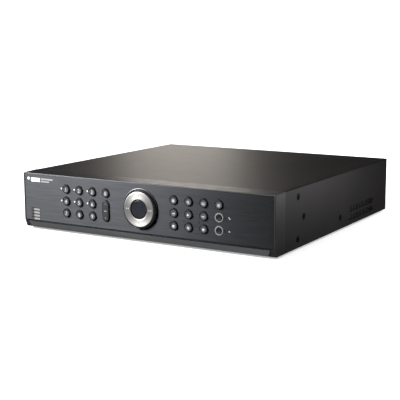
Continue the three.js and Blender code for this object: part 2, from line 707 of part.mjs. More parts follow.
function buildTray() {
  const half = TRAY_HALF;
  const floor = box([-half, TRAY_FRONT, CASE_BOTTOM], [half, REAR_FACE, TRAY_FLOOR]);
  const rear = box([-half, REAR_WALL, CASE_BOTTOM], [half, REAR_FACE, TRAY_TOP]);
  const rearLip = box(
    [-half, REAR_WALL - TRAY_LIP, TRAY_TOP - SHEET],
    [half, REAR_FACE, TRAY_TOP],
  );
  const front = box([-half, TRAY_FRONT, CASE_BOTTOM], [half, TRAY_FRONT + SHEET, TRAY_TOP]);
  const frontLip = box(
    [-half, TRAY_FRONT, TRAY_TOP - SHEET],
    [half, TRAY_FRONT + SHEET + TRAY_LIP, TRAY_TOP],
  );
  const wall = (side, y0, y1, z1) => {
    const edges = [side * TAB_HALF, side * (TAB_HALF - SHEET)].sort((a, b) => a - b);
    return box([edges[0], y0, CASE_BOTTOM], [edges[1], y1, z1]);
  };
  const walls = [-1, 1].flatMap((side) => [
    wall(side, TRAY_FRONT, REAR_FACE, SIDE_LIP_TOP),
    wall(side, TRAY_FRONT, FRONT_TAB_END, TAB_TOP),
    wall(side, REAR_TAB.front, REAR_TAB.rear, REAR_TAB.top),
    wall(side, REAR_WALL - 12, REAR_FACE, TAB_TOP),
  ]);
  const boardEdges = [MAIN_BOARD.left + STANDOFF.inset, MAIN_BOARD.right - STANDOFF.inset];
  const standoffs = boardEdges.flatMap((x) =>
    [MAIN_BOARD.front + STANDOFF.inset, MAIN_BOARD.rear - STANDOFF.rear].map((y) =>
      post(STANDOFF.radius, x, y, POST_BOTTOM, MAIN_BOARD.bottom),
    ),
  );
  const drivePads = Object.values(DRIVES_X).flatMap((left) =>
    [left + DRIVE_POST.inset, left + DRIVE.width - DRIVE_POST.inset].flatMap((x) =>
      [DRIVE.front + DRIVE_POST.front, DRIVE.front + DRIVE.length - DRIVE_POST.rear].map((y) =>
        post(DRIVE_POST.radius, x, y, POST_BOTTOM, DRIVE.bottom),
      ),
    ),
  );
  const body = join([floor, rear, rearLip, front, frontLip, ...walls, ...standoffs, ...drivePads]);
  const screwHoles = [-1, 1].flatMap((side) =>
    SIDE_SCREWS.map(({ y, z }) =>
      turnedSideways(
        [
          [0, TAB_HALF - 3],
          [SCREW_HOLE, TAB_HALF - 3],
          [SCREW_HOLE, TAB_HALF + 1],
          [0, TAB_HALF + 1],
        ],
        side,
        y,
        z,
        6,
      ),
    ),
  );
  const frontWindow = box(
    [-FRONT_WINDOW.half, TRAY_FRONT - 1, FRONT_WINDOW.bottom],
    [FRONT_WINDOW.half, TRAY_FRONT + 2, FRONT_WINDOW.top],
  );
  add("base_tray", cut(body, [...screwHoles, frontWindow, ...rearCutouts()]), zinc);
}

// A round post from z0 up to a board or drive, just clear of it.
function post(radius, x, y, z0, z1) {
  const geometry = new THREE.CylinderGeometry(radius, radius, z1 - GAP - z0, 6);
  geometry.rotateX(Math.PI / 2);
  geometry.translate(x, y, (z0 + z1 - GAP) / 2);
  return solid(geometry);
}

function rearCutouts() {
  const through = (x0, x1, z0, z1) => box([x0, REAR_WALL - 1, z0], [x1, REAR_FACE + 1, z1]);
  const jacks = BNC.rows.flatMap((z) =>
    range(BNC.columns).map((i) =>
      rod(BNC.hole, BNC.x + i * BNC.pitch, z, REAR_WALL - 1, REAR_FACE + 1, 8),
    ),
  );
  const grille = range(GRILLE.slots).map((i) => {
    const offset = (i - (GRILLE.slots - 1) / 2) * GRILLE.pitch;
    const reach = Math.sqrt(GRILLE.radius ** 2 - offset ** 2);
    const z = FAN.z + offset;
    return through(FAN.x - reach, FAN.x + reach, z - GRILLE.half, z + GRILLE.half);
  });
  const edge = 0.5;
  return [
    ...jacks,
    ...grille,
    through(PORTS.left - edge, PORTS.right + edge, PORTS.bottom - edge, PORTS.top + edge),
    through(
      TERMINALS.left - edge,
      TERMINALS.right + edge,
      TERMINALS.bottom - edge,
      TERMINALS.top + edge,
    ),
    through(INLET.left + 2, INLET.right - 2, INLET.bottom + 2, INLET.top - 2),
  ];
}

function buildFeet() {
  for (const [end, y] of [["front", FEET.front], ["rear", FEET.rear]]) {
    for (const [side, x] of [["left", -FEET.x], ["right", FEET.x]]) {
      const { radius } = FEET;
      const geometry = new THREE.CylinderGeometry(radius, radius - 1, FOOT_HEIGHT - 0.05, 16);
      geometry.rotateX(Math.PI / 2);
      geometry.translate(x, y, (FOOT_HEIGHT - 0.05) / 2);
      add(`foot_${end}_${side}`, solid(geometry), rubber);
    }
  }
}

// ---------------------------------------------------------------- inside

function buildMainBoard() {
  const { left, right, front, rear, bottom } = MAIN_BOARD;
  const top = bottom + BOARD_THICKNESS;
  const board = box([left, front, bottom], [right, rear, top]);
  const parts = BOARD_PARTS.map(({ from, to, height }) =>
    box([...from, top - 0.5], [...to, top + height]),
  );
  const { count, x, pitch, y, radius, height } = CAPACITORS;
  const capacitors = range(count).map((i) =>
    post(radius, x + i * pitch, y, top - 0.5, top + height),
  );
  add("main_board", join([board, ...parts, ...capacitors]), greenBoard);
}

function buildHeatSink() {
  const bottom = MAIN_BOARD.bottom + BOARD_THICKNESS + GAP;
  const { left, front, size, height, fins, fin } = HEAT_SINK;
  const rear = front + size;
  const base = box([left, front, bottom], [left + size, rear, bottom + HEAT_SINK.base]);
  const firstFin = left + 1;
  const pitch = (size - 2 - fin) / (fins - 1);
  const blades = range(fins).map((i) => {
    const x = firstFin + i * pitch;
    return box([x, front, bottom + HEAT_SINK.base - 1], [x + fin, rear, bottom + height]);
  });
  add("heat_sink", join([base, ...blades]), finMetal);
}

function buildDrives() {
  const { width, length, height, front, bottom } = DRIVE;
  for (const [side, left] of Object.entries(DRIVES_X)) {
    const [right, rear, top] = [left + width, front + length, bottom + height];
    const body = box([left, front, bottom], [right, rear, top]);
    const lid = box(
      [left + DRIVE_LID.inset, front + DRIVE_LID.inset, top - 1],
      [right - DRIVE_LID.inset, rear - DRIVE_LID.rear, top + DRIVE_LID.height],
    );
    const socket = box(
      [left + DRIVE_SOCKET.left, rear - DRIVE_SOCKET.depth, bottom + DRIVE_SOCKET.bottom],
      [left + DRIVE_SOCKET.right, rear + 1, bottom + DRIVE_SOCKET.top],
    );
    add(`hard_drive_${side}`, join([body, lid]).subtract(socket), driveMetal);
  }
}

// A folded steel box, open at its front end and slotted in its lid, with its parts on its floor.
function buildPowerSupply() {
  const { left, right, front, rear, top } = SUPPLY;
  const bottom = TRAY_FLOOR + GAP;
  const shell = box([left, front, bottom], [right, rear, top]);
  const hollow = box(
    [left + SHEET, front + SHEET, bottom + SHEET],
    [right - SHEET, rear - SHEET, top - SHEET],
  );
  const { count, first, pitch, inset, width } = SUPPLY_SLOTS;
  const slots = range(count).map((i) => {
    const y = front + first + i * pitch;
    return box([left + inset, y, top - 2], [right - inset, y + width, top + 1]);
  });
  const rim = 6;
  const mouth = box([left + rim, front - 1, bottom + rim], [right - rim, front + 2, top - rim]);
  const parts = SUPPLY_PARTS.map(({ from, to, height }) =>
    box(
      [left + from[0], front + from[1], bottom],
      [left + to[0], front + to[1], bottom + height],
    ),
  );
  add("power_supply", join([cut(shell, [hollow, mouth, ...slots]), ...parts]), zinc);
}

function buildFan() {
  const { x, z, size, depth, bore, blades } = FAN;
  const half = size / 2;
  const rear = FAN_FRONT + depth;
  const block = box([x - half, FAN_FRONT, z - half], [x + half, rear, z + half]);
  const corners = [[-1, -1], [-1, 1], [1, -1], [1, 1]];
  const screwHoles = corners.map(([sx, sz]) =>
    rod(
      FAN_SCREWS.radius,
      x + sx * FAN_SCREWS.offset,
      z + sz * FAN_SCREWS.offset,
      FAN_FRONT - 1,
      rear + 1,
      8,
    ),
  );
  const hollow = rod(bore, x, z, FAN_FRONT - 1, rear + 1, 32);
  const hub = rod(FAN_HUB.radius, x, z, rear - FAN_HUB.depth, rear, 20);
  const arm = box(
    [FAN_HUB.radius - 5, rear - FAN_HUB.depth + 1, -FAN_HUB.arm],
    [bore + 1, rear, FAN_HUB.arm],
  );
  const arms = range(4).map((i) => arm.rotate([0, 45 + 90 * i, 0]).translate([x, 0, z]));
  add("fan_frame", join([cut(block, [hollow, ...screwHoles]), hub, ...arms]), blackPlastic);

  const cap = rod(ROTOR.cap, x, z, FAN_FRONT + ROTOR.front, rear - ROTOR.rear, 20);
  const blade = box(
    [ROTOR.cap - 1, -ROTOR.chord, -ROTOR.blade],
    [ROTOR.reach, ROTOR.chord, ROTOR.blade],
  ).rotate([ROTOR.pitch, 0, 0]);
  const bladesY = FAN_FRONT + 11;
  const fanned = range(blades).map((i) =>
    blade.rotate([0, (360 / blades) * i, 0]).translate([x, bladesY, z]),
  );
  add("fan_rotor", join([cap, ...fanned]), blackPlastic);
}

// ---------------------------------------------------------------- rear sockets

function buildBncBlock() {
  const { x, pitch, columns, rows, radius, tip } = BNC;
  const housing = box(
    [x - BNC_HOUSING.margin, BNC_HOUSING.front, MAIN_BOARD.bottom + BOARD_THICKNESS + GAP],
    [
      x + (columns - 1) * pitch + BNC_HOUSING.margin,
      REAR_WALL - GAP,
      rows[1] + BNC_HOUSING.above,
    ],
  );
  const shoulderEnd = REAR_FACE + BNC_SHOULDER.proud;
  const jack = [
    [0, REAR_WALL - 1],
    [BNC_SHOULDER.radius, REAR_WALL - 1],
    [BNC_SHOULDER.radius, shoulderEnd],
    [radius, shoulderEnd],
    [radius, tip],
    [0, tip],
  ];
  const jacks = rows.flatMap((z) =>
    range(columns).map((i) => turned(jack, x + i * pitch, z, 10)),
  );
  add("bnc_jack_block", join([housing, ...jacks]), nickel);
}

// Network, two bus, video and monitor sockets in one shielded block.
function buildPorts() {
  const { left, right, bottom, top, front, rear } = PORTS;
  const block = box([left, front, bottom], [right, rear, top]);
  const region = ([x0, x1, z0, z1], y0, y1) =>
    box([left + x0, y0, bottom + z0], [left + x1, y1, bottom + z1]);
  const sockets = Object.values(SOCKETS);
  const pockets = sockets.map((socket) => region(socket.box, rear - socket.depth, rear + 1));
  const tongues = sockets
    .filter((socket) => socket.tongue)
    .map((socket) => region(socket.tongue, rear - socket.depth - 1, rear - 1));
  const { width, slant, proud } = MONITOR_SOCKET;
  const shellLeft = left + MONITOR_SOCKET.left;
  const shell = prismY(
    [
      [shellLeft, bottom + MONITOR_SOCKET.top],
      [shellLeft + width, bottom + MONITOR_SOCKET.top],
      [shellLeft + width - slant, bottom + MONITOR_SOCKET.bottom],
      [shellLeft + slant, bottom + MONITOR_SOCKET.bottom],
    ],
    rear - 1,
    rear + proud,
  );
  const nutsX = [shellLeft - MONITOR_NUTS.offset, shellLeft + width + MONITOR_NUTS.offset];
  const nutZ = bottom + (MONITOR_SOCKET.bottom + MONITOR_SOCKET.top) / 2;
  const nuts = nutsX.map((x) =>
    rod(MONITOR_NUTS.radius, x, nutZ, rear - 1, rear + MONITOR_NUTS.proud, 6),
  );
  const body = join([cut(block, pockets), ...tongues, shell, ...nuts]);
  add("port_block", body, nickel);
}

// A row of screw terminals for alarm and control wires, wire holes facing the rear.
function buildTerminals() {
  const { left, right, bottom, top, poles, front, rear } = TERMINALS;
  const body = box([left, front, bottom], [right, rear, top]);
  const pitch = (right - left) / poles;
  const wireHoles = range(poles).map((i) => {
    const x = left + pitch * (i + 0.5);
    return box(
      [x - WIRE_HOLE.half, rear - WIRE_HOLE.depth, bottom + WIRE_HOLE.low],
      [x + WIRE_HOLE.half, rear + 1, bottom + WIRE_HOLE.high],
    );
  });
  add("terminal_block", cut(body, wireHoles), terminalGreen);
}

// The mains inlet and the frame of the power switch share one moulding.
function buildInlet() {
  const { left, right, bottom, top, front, flange, inset } = INLET;
  const face = REAR_FACE + GAP;
  const rear = face + flange;
  const plate = box([left, face, bottom], [right, rear, top]);
  const body = box(
    [left + inset, front, bottom + inset],
    [right - inset, face + 1, top - inset],
  );
  const hollow = (edges) =>
    box(
      [left + edges.left, rear - edges.depth, edges.bottom],
      [left + edges.right, rear + 1, edges.top],
    );
  const middle = left + (INLET_SOCKET.left + INLET_SOCKET.right) / 2;
  const [pinX, pinZ] = INLET_PINS.half;
  const pin = (x, z) =>
    box(
      [x - pinX, rear - INLET_SOCKET.depth - 1, z - pinZ],
      [x + pinX, rear - INLET_PINS.tip, z + pinZ],
    );
  const pins = [
    pin(middle - INLET_PINS.side, INLET_PINS.sideZ),
    pin(middle + INLET_PINS.side, INLET_PINS.sideZ),
    pin(middle, INLET_PINS.middleZ),
  ];
  const shell = cut(join([plate, body]), [hollow(INLET_SOCKET), hollow(SWITCH_WELL)]);
  add("power_inlet", join([shell, ...pins]), blackPlastic);

  const { half, dip, end, back, belly } = SWITCH_ROCKER;
  const level = [
    [back, 0.2 - half],
    [belly, 0],
    [back, half - 0.2],
    [end, half],
    [dip, 0],
    [end, -half],
  ];
  const rocker = prismX(level, left + SWITCH_ROCKER.left, left + SWITCH_ROCKER.right)
    .rotate([-POWER_SWITCH.tilt, 0, 0])
    .translate([0, POWER_SWITCH.y, POWER_SWITCH.z]);
  add("power_switch", rocker, blackPlastic);
}

// ---------------------------------------------------------------- assembly

buildBezel();
buildFacePlate();
buildTrim();
buildKeys();
buildRocker();
buildDial();
buildChannelGuide();
buildStatusGuide();
buildKeyBoard();
buildCover();
buildSideScrews();
buildTray();
buildFeet();
buildMainBoard();
buildHeatSink();
buildDrives();
buildPowerSupply();
buildFan();
buildBncBlock();
buildPorts();
buildTerminals();
buildInlet();

recorder.position.y = -CENTRE_Y;

export default recorder;
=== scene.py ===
"""Looks of the video recorder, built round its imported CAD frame."""

from math import cos, hypot, pi, radians, sin, tan

import bmesh
import bpy
from mathutils import Matrix, Vector


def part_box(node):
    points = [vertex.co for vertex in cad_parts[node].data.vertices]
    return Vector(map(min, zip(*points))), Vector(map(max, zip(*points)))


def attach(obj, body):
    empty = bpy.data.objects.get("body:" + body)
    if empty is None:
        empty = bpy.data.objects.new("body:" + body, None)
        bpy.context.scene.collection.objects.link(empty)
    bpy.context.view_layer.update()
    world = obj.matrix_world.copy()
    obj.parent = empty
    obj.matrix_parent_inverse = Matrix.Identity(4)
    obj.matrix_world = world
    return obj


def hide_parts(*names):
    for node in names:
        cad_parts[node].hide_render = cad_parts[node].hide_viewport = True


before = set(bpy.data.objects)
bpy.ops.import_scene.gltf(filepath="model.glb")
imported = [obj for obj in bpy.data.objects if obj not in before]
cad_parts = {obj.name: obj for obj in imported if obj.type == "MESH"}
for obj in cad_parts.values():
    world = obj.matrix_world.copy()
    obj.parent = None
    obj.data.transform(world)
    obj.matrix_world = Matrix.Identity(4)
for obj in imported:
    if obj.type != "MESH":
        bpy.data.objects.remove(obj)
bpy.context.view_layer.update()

MM = 0.001  # the frame is in metres, and every size below is in millimetres
CASE = "case"
TURN = 2 * pi

# The recorder's own details, which the CAD solids hold only as plain facets.
KEY_HOLE = 6.9
RING_KEY_HOLE = 6.7
LIGHT_HOLE = 1.55
SMALL_LIGHT_HOLE = 1.1
LENS_RADIUS = 1.25
SMALL_LENS_RADIUS = 0.8
DIAL_HOLE = 29.3
ROCKER_CLEARANCE = 0.5
ROCKER_FLANGE = 0.9
KEY_CAP = 6.3
KEY_DISH = 0.5  # how far a key's face sinks from its edge to its middle
RING_KEY_CAP = 4.4
SHEET = 1.0
BEND = 2.0  # outer radius of the top cover's bends
KEY_FLANGE = 1.7  # depths of the flanges behind the plate's front
RING_KEY_FLANGE = 3.6
KEY_DISC = KEY_CAP - 1.8  # radius of the metallic disc in a key's face
KEY_RIM = 0.5  # width of the raised rim round a key's hollow face
SMOOTH = 40  # degrees: turned and lofted pieces shade smoothly across flatter edges
PRINT = 0.03  # half the thickness of the ink on the face plate
VENT = {"y": 46.1, "count": 16, "pitch": 6.2, "width": 4.2, "height": 9.6, "rows": (9.6, 22.7)}
DIMPLE = {"mouth": 4.8, "throat": 2.6, "depth": 1.7, "pad": 5.8}
BNC = {"x": -101.0, "pitch": 18.0, "columns": 8, "rows": (24.0, 44.0), "radius": 4.8}
NUMBER_KEYS = [f"number_key_{digit}" for digit in (1, 2, 3, 4, 5, 6, 7, 8, 9, 0)]
FUNCTION_KEYS = [f"function_key_{index}" for index in range(1, 11)]
RING_KEYS = ["ring_key_upper", "ring_key_lower"]
SCREW_PLACES = ("upper", "middle", "lower", "rear")


def span(node):
    """Lowest and highest corner of a CAD node in millimetres."""
    low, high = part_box(node)
    return low / MM, high / MM


def middle(node):
    low, high = span(node)
    return (low + high) / 2


FRONT = span("face_plate")[0].y  # the face plate's front
REAR = span("base_tray")[1].y  # the rear panel's outer face
DIAL = middle("dial_collar")


# ---- geometry


def arc(centre, radius, start, end, steps):
    """Points on an arc, angles in degrees."""
    angles = [radians(start + (end - start) * i / steps) for i in range(steps + 1)]
    return [(centre[0] + radius * cos(a), centre[1] + radius * sin(a)) for a in angles]


def rounded(points, closed=False, steps=4):
    """An outline of (a, b) or (a, b, radius) points, with the corners that have a radius rounded."""
    out = []
    count = len(points)
    for i, point in enumerate(points):
        here = Vector(point[:2])
        radius = point[2] if len(point) > 2 else 0
        if not radius or (not closed and i in (0, count - 1)):
            out.append(tuple(here))
            continue
        before = (Vector(points[i - 1][:2]) - here).normalized()
        after = (Vector(points[(i + 1) % count][:2]) - here).normalized()
        half = before.angle(after) / 2
        reach = radius / tan(half)
        centre = here + (before + after).normalized() * (radius / sin(half))
        start = here + before * reach - centre
        end = here + after * reach - centre
        sweep = start.angle_signed(end)
        for step in range(steps + 1):
            turned = start.copy()
            turned.rotate(Matrix.Rotation(-sweep * step / steps, 2))
            out.append(tuple(centre + turned))
    return out


def stadium(half, reach, centre=(0, 0), steps=12):
    """An upright slot with round ends, as (x, z) points."""
    x, z = centre
    straight = reach - half
    top = arc((x, z + straight), half, 0, 180, steps)
    bottom = arc((x, z - straight), half, 180, 360, steps)
    return top + bottom


def circle(radius, centre=(0, 0), steps=32):
    return arc(centre, radius, 0, 360 * (1 - 1 / steps), steps - 1)


def rectangle(x0, z0, x1, z1):
    return [(x0, z0), (x1, z0), (x1, z1), (x0, z1)]


AXES = {
    "X": lambda a, b, c: (c, a, b),  # outline in Y and Z, depth along X
    "Y": lambda a, b, c: (a, c, b),  # outline in X and Z, depth along Y
    "Z": lambda a, b, c: (a, b, c),  # outline in X and Y, depth along Z
}


def rod(radius, start, end):
    """The profile of a plain rod, for turning."""
    return [(0, start), (radius, start), (radius, end), (0, end)]


def cup(radius, bore, back, front, floor):
    """The profile of a rod with a blind bore."""
    return [(0, back), (radius, back), (radius, front), (bore, front), (bore, floor), (0, floor)]


def toward(azimuth, elevation):
    """A unit vector: azimuth 0 points out of the recorder's front, 90 out of its right side."""
    a, e = radians(azimuth), radians(elevation)
    return Vector((sin(a) * cos(e), -cos(a) * cos(e), sin(e)))


def linked(name, data):
    """A new object in the scene."""
    obj = bpy.data.objects.new(name, data)
    bpy.context.scene.collection.objects.link(obj)
    return obj


class Shape:
    """Closed shells in millimetres, which become one piece."""

    def __init__(self):
        self.verts = []
        self.faces = []

    def add(self, verts, faces):
        first = len(self.verts)
        self.verts += [tuple(v) for v in verts]
        self.faces += [[first + i for i in face] for face in faces]
        return self

    def loft(self, rings, axis="Y", capped=True):
        """Outlines of one point count, each with its depth along the axis: [(outline, depth), ...]."""
        count = len(rings[0][0])
        verts = [AXES[axis](a, b, depth) for outline, depth in rings for a, b in outline]
        faces = []
        for ring in range(len(rings) - 1):
            low, high = ring * count, (ring + 1) * count
            for i in range(count):
                j = (i + 1) % count
                faces.append([low + i, low + j, high + j, high + i])
        if capped:
            faces.append(list(range(count))[::-1])
            faces.append([(len(rings) - 1) * count + i for i in range(count)])
        return self.add(verts, faces)

    def prism(self, outline, start, end, axis="Y"):
        return self.loft([(outline, start), (outline, end)], axis)

    def box(self, low, high):
        return self.prism(rectangle(low[0], low[2], high[0], high[2]), low[1], high[1])

    def turned(self, profile, centre, axis="Y", segments=48, start=0.0):
        """A profile of (radius, depth) turned about a line along the axis. It ends on the line or closes."""
        closed = profile[0] == profile[-1]
        points = profile[:-1] if closed else profile
        a0, b0 = {"X": (centre[1], centre[2]), "Y": (centre[0], centre[2]), "Z": (centre[0], centre[1])}[axis]
        verts, rings, faces = [], [], []
        for radius, depth in points:
            if radius < 1e-6:
                rings.append([len(verts)] * segments)
                verts.append(AXES[axis](a0, b0, depth))
                continue
            rings.append([len(verts) + i for i in range(segments)])
            for i in range(segments):
                angle = start + TURN * i / segments
                a = a0 + radius * cos(angle)
                b = b0 + radius * sin(angle)
                verts.append(AXES[axis](a, b, depth))
        pairs = list(zip(rings, rings[1:] + rings[:1])) if closed else list(zip(rings, rings[1:]))
        for low, high in pairs:
            for i in range(segments):
                j = (i + 1) % segments
                face = [low[i], low[j], high[j], high[i]]
                face = [v for k, v in enumerate(face) if v not in face[:k]]
                if len(face) > 2:
                    faces.append(face)
        return self.add(verts, faces)

    def moved(self, matrix):
        self.verts = [tuple(matrix @ Vector(v)) for v in self.verts]
        return self

    def object(self, name):
        """One object, with the faces of every shell turned outwards."""
        mesh = bpy.data.meshes.new(name)
        mesh.from_pydata([Vector(v) * MM for v in self.verts], [], self.faces)
        work = bmesh.new()
        work.from_mesh(mesh)
        bmesh.ops.recalc_face_normals(work, faces=work.faces)
        work.to_mesh(mesh)
        work.free()
        return linked(name, mesh)


def combine(obj, shape, operation="DIFFERENCE"):
    """Cuts a shape from an object, or joins it on."""
    tool = shape.object(obj.name + "_tool")
    modifier = obj.modifiers.new("combine", "BOOLEAN")
    modifier.operation = operation
    modifier.solver = "EXACT"
    modifier.use_self = True
    modifier.object = tool
    graph = bpy.context.evaluated_depsgraph_get()
    mesh = bpy.data.meshes.new_from_object(obj.evaluated_get(graph))
    obj.modifiers.clear()
    obj.data = mesh
    bpy.data.objects.remove(tool)


def soften(obj, width, segments=2, angle=35):
    """Rounds the sharp edges and shades the rest smooth."""
    modifier = obj.modifiers.new("edges", "BEVEL")
    modifier.width = width * MM
    modifier.segments = segments
    modifier.limit_method = "ANGLE"
    modifier.angle_limit = radians(angle)
    modifier.use_clamp_overlap = True
    shade(obj, angle)


def shade(obj, angle):
    """Shades smoothly across edges flatter than the angle. Large faces keep their own normals."""
    for polygon in obj.data.polygons:
        polygon.use_smooth = True
    obj.data.set_sharp_from_angle(angle=radians(angle))
    modifier = obj.modifiers.new("normals", "WEIGHTED_NORMAL")
    modifier.keep_sharp = True


def piece(obj, look, body=CASE, replaces=()):
    """Gives a new object its named look and its place in the frame."""
    obj.data.materials.clear()
    obj.data.materials.append(looks[look])
    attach(obj, body)
    if replaces:
        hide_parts(*replaces)


def smooth_piece(shape, name, look, body=CASE, replaces=(), angle=SMOOTH):
    """Makes a shape one smoothly shaded piece with the named look."""
    obj = shape.object(name)
    shade(obj, angle)
    piece(obj, look, body, replaces)


def dress(node, look, bevel, segments):
    """Gives a CAD node its named look and, with a width, softer edges."""
    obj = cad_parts[node]
    obj.data.materials.clear()
    obj.data.materials.append(looks[look])
    if bevel:
        soften(obj, bevel, segments)


def repaint(obj, look, chosen):
    """Gives the faces picked by chosen(centre, normal), in mm, another look."""
    obj.data.materials.append(looks[look])
    for polygon in obj.data.polygons:
        if chosen(polygon.center / MM, polygon.normal):
            polygon.material_index = 1


# ---- materials


class Material:
    """A principled material with named nodes added to it."""

    def __init__(self, name, color, roughness, metallic=0.0, **settings):
        self.material = bpy.data.materials.new(name)
        self.material.use_nodes = True
        self.nodes = self.material.node_tree.nodes
        self.links = self.material.node_tree.links
        self.shader = self.nodes["Principled BSDF"]
        self.color = color
        self.roughness = roughness
        self.set("Base Color", (*color, 1))
        self.set("Roughness", roughness)
        self.set("Metallic", metallic)
        for key, value in settings.items():
            self.set(key.replace("_", " "), value)
        self.coordinates = self.nodes.new("ShaderNodeTexCoord").outputs["Object"]
        self.normal = None
        self.material.diffuse_color = (*color, 1)

    def set(self, socket, value):
        self.shader.inputs[socket].default_value = value

    def node(self, kind, inputs=None, **settings):
        node = self.nodes.new(kind)
        for key, value in settings.items():
            setattr(node, key, value)
        for key, value in (inputs or {}).items():
            if isinstance(value, bpy.types.NodeSocket):
                self.links.new(value, node.inputs[key])
            else:
                node.inputs[key].default_value = value
        return node

    def noise(self, scale, detail=2.0, roughness=0.5):
        """Noise whose scale is one number, or one for each axis, in cells to a metre."""
        if isinstance(scale, tuple):
            inputs = {"Vector": self.coordinates, "Scale": scale}
            vector, size = self.node("ShaderNodeMapping", inputs).outputs[0], 1.0
        else:
            vector, size = self.coordinates, scale
        inputs = {"Vector": vector, "Scale": size, "Detail": detail, "Roughness": roughness}
        return self.node("ShaderNodeTexNoise", inputs).outputs["Fac"]

    def remap(self, value, low, high, to_low, to_high):
        inputs = {"Value": value, "From Min": low, "From Max": high, "To Min": to_low, "To Max": to_high}
        return self.node("ShaderNodeMapRange", inputs).outputs[0]

    def vary_color(self, value, amount, tint=(1, 1, 1)):
        """Moves the base colour up and down by a share with a value round 0.5."""
        ramp = self.node("ShaderNodeValToRGB", {"Fac": value})
        ends = ((0.3, 1 - amount, (1, 1, 1)), (0.7, 1 + amount, tint))
        for element, (position, share, shift) in zip(ramp.color_ramp.elements, ends):
            element.position = position
            element.color = (*[c * share * s for c, s in zip(self.color, shift)], 1)
        self.links.new(ramp.outputs[0], self.shader.inputs["Base Color"])

    def vary_roughness(self, value, amount):
        low, high = self.roughness - amount, self.roughness + amount
        self.links.new(self.remap(value, 0.3, 0.7, low, high), self.shader.inputs["Roughness"])

    def bump(self, height, distance, strength=1.0):
        """Relief of a depth in millimetres, on top of any before it."""
        inputs = {"Height": height, "Distance": distance * MM, "Strength": strength}
        if self.normal:
            inputs["Normal"] = self.normal
        self.normal = self.node("ShaderNodeBump", inputs).outputs[0]
        self.links.new(self.normal, self.shader.inputs["Normal"])

    def grain(self, tone, gloss, relief, tint=(1, 1, 1)):
        """Tone and gloss are (scale, detail, amount), relief is (scale, detail, depth, strength)."""
        self.vary_color(self.noise(*tone[:2]), tone[2], tint)
        if gloss:
            self.vary_roughness(self.noise(*gloss[:2]), gloss[2])
        self.bump(self.noise(*relief[:2]), *relief[2:])
        return self.material

    def tangent(self, axis):
        node = self.node("ShaderNodeTangent", direction_type="RADIAL", axis=axis)
        self.links.new(node.outputs[0], self.shader.inputs["Tangent"])


def powder_coat():
    """Fine-textured satin charcoal paint."""
    look = Material("powder_coat", (0.0125, 0.0115, 0.011), 0.44)
    return look.grain((9, 2, 0.1), (35, 4, 0.008), (1100, 3, 0.03, 0.3), tint=(1.03, 1, 0.97))


def bezel_plastic():
    look = Material("bezel_plastic", (0.013, 0.013, 0.0135), 0.39, Specular_IOR_Level=0.85)
    return look.grain((14, 2, 0.07), (60, 3, 0.03), (2200, 2, 0.012, 0.25))


def brushed(name, color, roughness, metallic, grain=1.0):
    """Anodised sheet brushed along X."""
    look = Material(name, color, roughness, metallic, Anisotropic=0.9, Anisotropic_Rotation=0.25)
    fine = look.noise((25, 3500, 3500), 3, 0.6)
    bands = look.noise((5, 420, 420), 3, 0.6)
    look.vary_color(bands, 0.05 * grain)
    look.vary_roughness(fine, 0.04 * grain)
    look.bump(fine, 0.005, 0.35 * grain)
    look.bump(bands, 0.004, 0.2 * grain)
    look.tangent("Z")
    return look.material


def spun_metal(name, color, roughness, anisotropic):
    """Metal turned on a lathe, with fine grooves round the dial's centre."""
    look = Material(name, color, roughness, 1.0, Anisotropic=anisotropic, Anisotropic_Rotation=0.25)
    centre = DIAL * MM
    offset = look.node("ShaderNodeVectorMath", {0: look.coordinates, 1: tuple(centre)}, operation="SUBTRACT")
    flat = look.node("ShaderNodeVectorMath", {0: offset.outputs[0], 1: (1, 0, 1)}, operation="MULTIPLY")
    radius = look.node("ShaderNodeVectorMath", {0: flat.outputs[0]}, operation="LENGTH").outputs["Value"]
    along = look.node("ShaderNodeCombineXYZ", {"X": radius})
    inputs = {"Vector": along.outputs[0], "Scale": 5200.0, "Detail": 2.0}
    grooves = look.node("ShaderNodeTexNoise", inputs).outputs["Fac"]
    look.vary_color(grooves, 0.06)
    look.vary_roughness(grooves, 0.05)
    look.bump(grooves, 0.006, 0.4)
    look.tangent("Y")
    return look.material


def key_metallic(color):
    look = Material("key_metallic", color, 0.42, 0.9)
    return look.grain((300, 3, 0.08), (900, 2, 0.03), (2600, 2, 0.004, 0.3))


def enter_plastic():
    look = Material("enter_gloss", (0.014, 0.0145, 0.018), 0.3)
    return look.grain((120, 2, 0.12), (200, 3, 0.03), (1500, 2, 0.004, 0.2), tint=(0.95, 1, 1.1))


def moulded(name, color, roughness, relief=0.02, scale=1400):
    """Moulded plastic or rubber with a fine skin texture."""
    look = Material(name, color, roughness)
    return look.grain((40, 3, 0.1), (180, 3, 0.04), (scale, 2, relief, 0.4))


def print_ink(name, color, roughness=0.5):
    return Material(name, color, roughness).grain((900, 2, 0.05), None, (3000, 2, 0.004, 0.3))


def plated(name, color, roughness, scale=500):
    """Plated or bare metal with slight clouding and fine scratches."""
    look = Material(name, color, roughness, 1.0)
    scratches = (scale / 10, scale * 4, scale * 4)
    return look.grain((scale / 12, 4, 0.08), (scale / 4, 3, 0.06), (scratches, 2, 0.006, 0.25))


def zinc_sheet():
    """Zinc-plated sheet with faint crystals."""
    look = Material("zinc_sheet", (0.62, 0.63, 0.64), 0.36, 1.0)
    cells = look.node("ShaderNodeTexVoronoi", {"Vector": look.coordinates, "Scale": 260.0})
    look.vary_color(cells.outputs["Distance"], 0.07, tint=(0.98, 1, 1.02))
    look.vary_roughness(look.noise(120, 3), 0.06)
    look.bump(look.noise(900, 3), 0.01, 0.25)
    return look.material


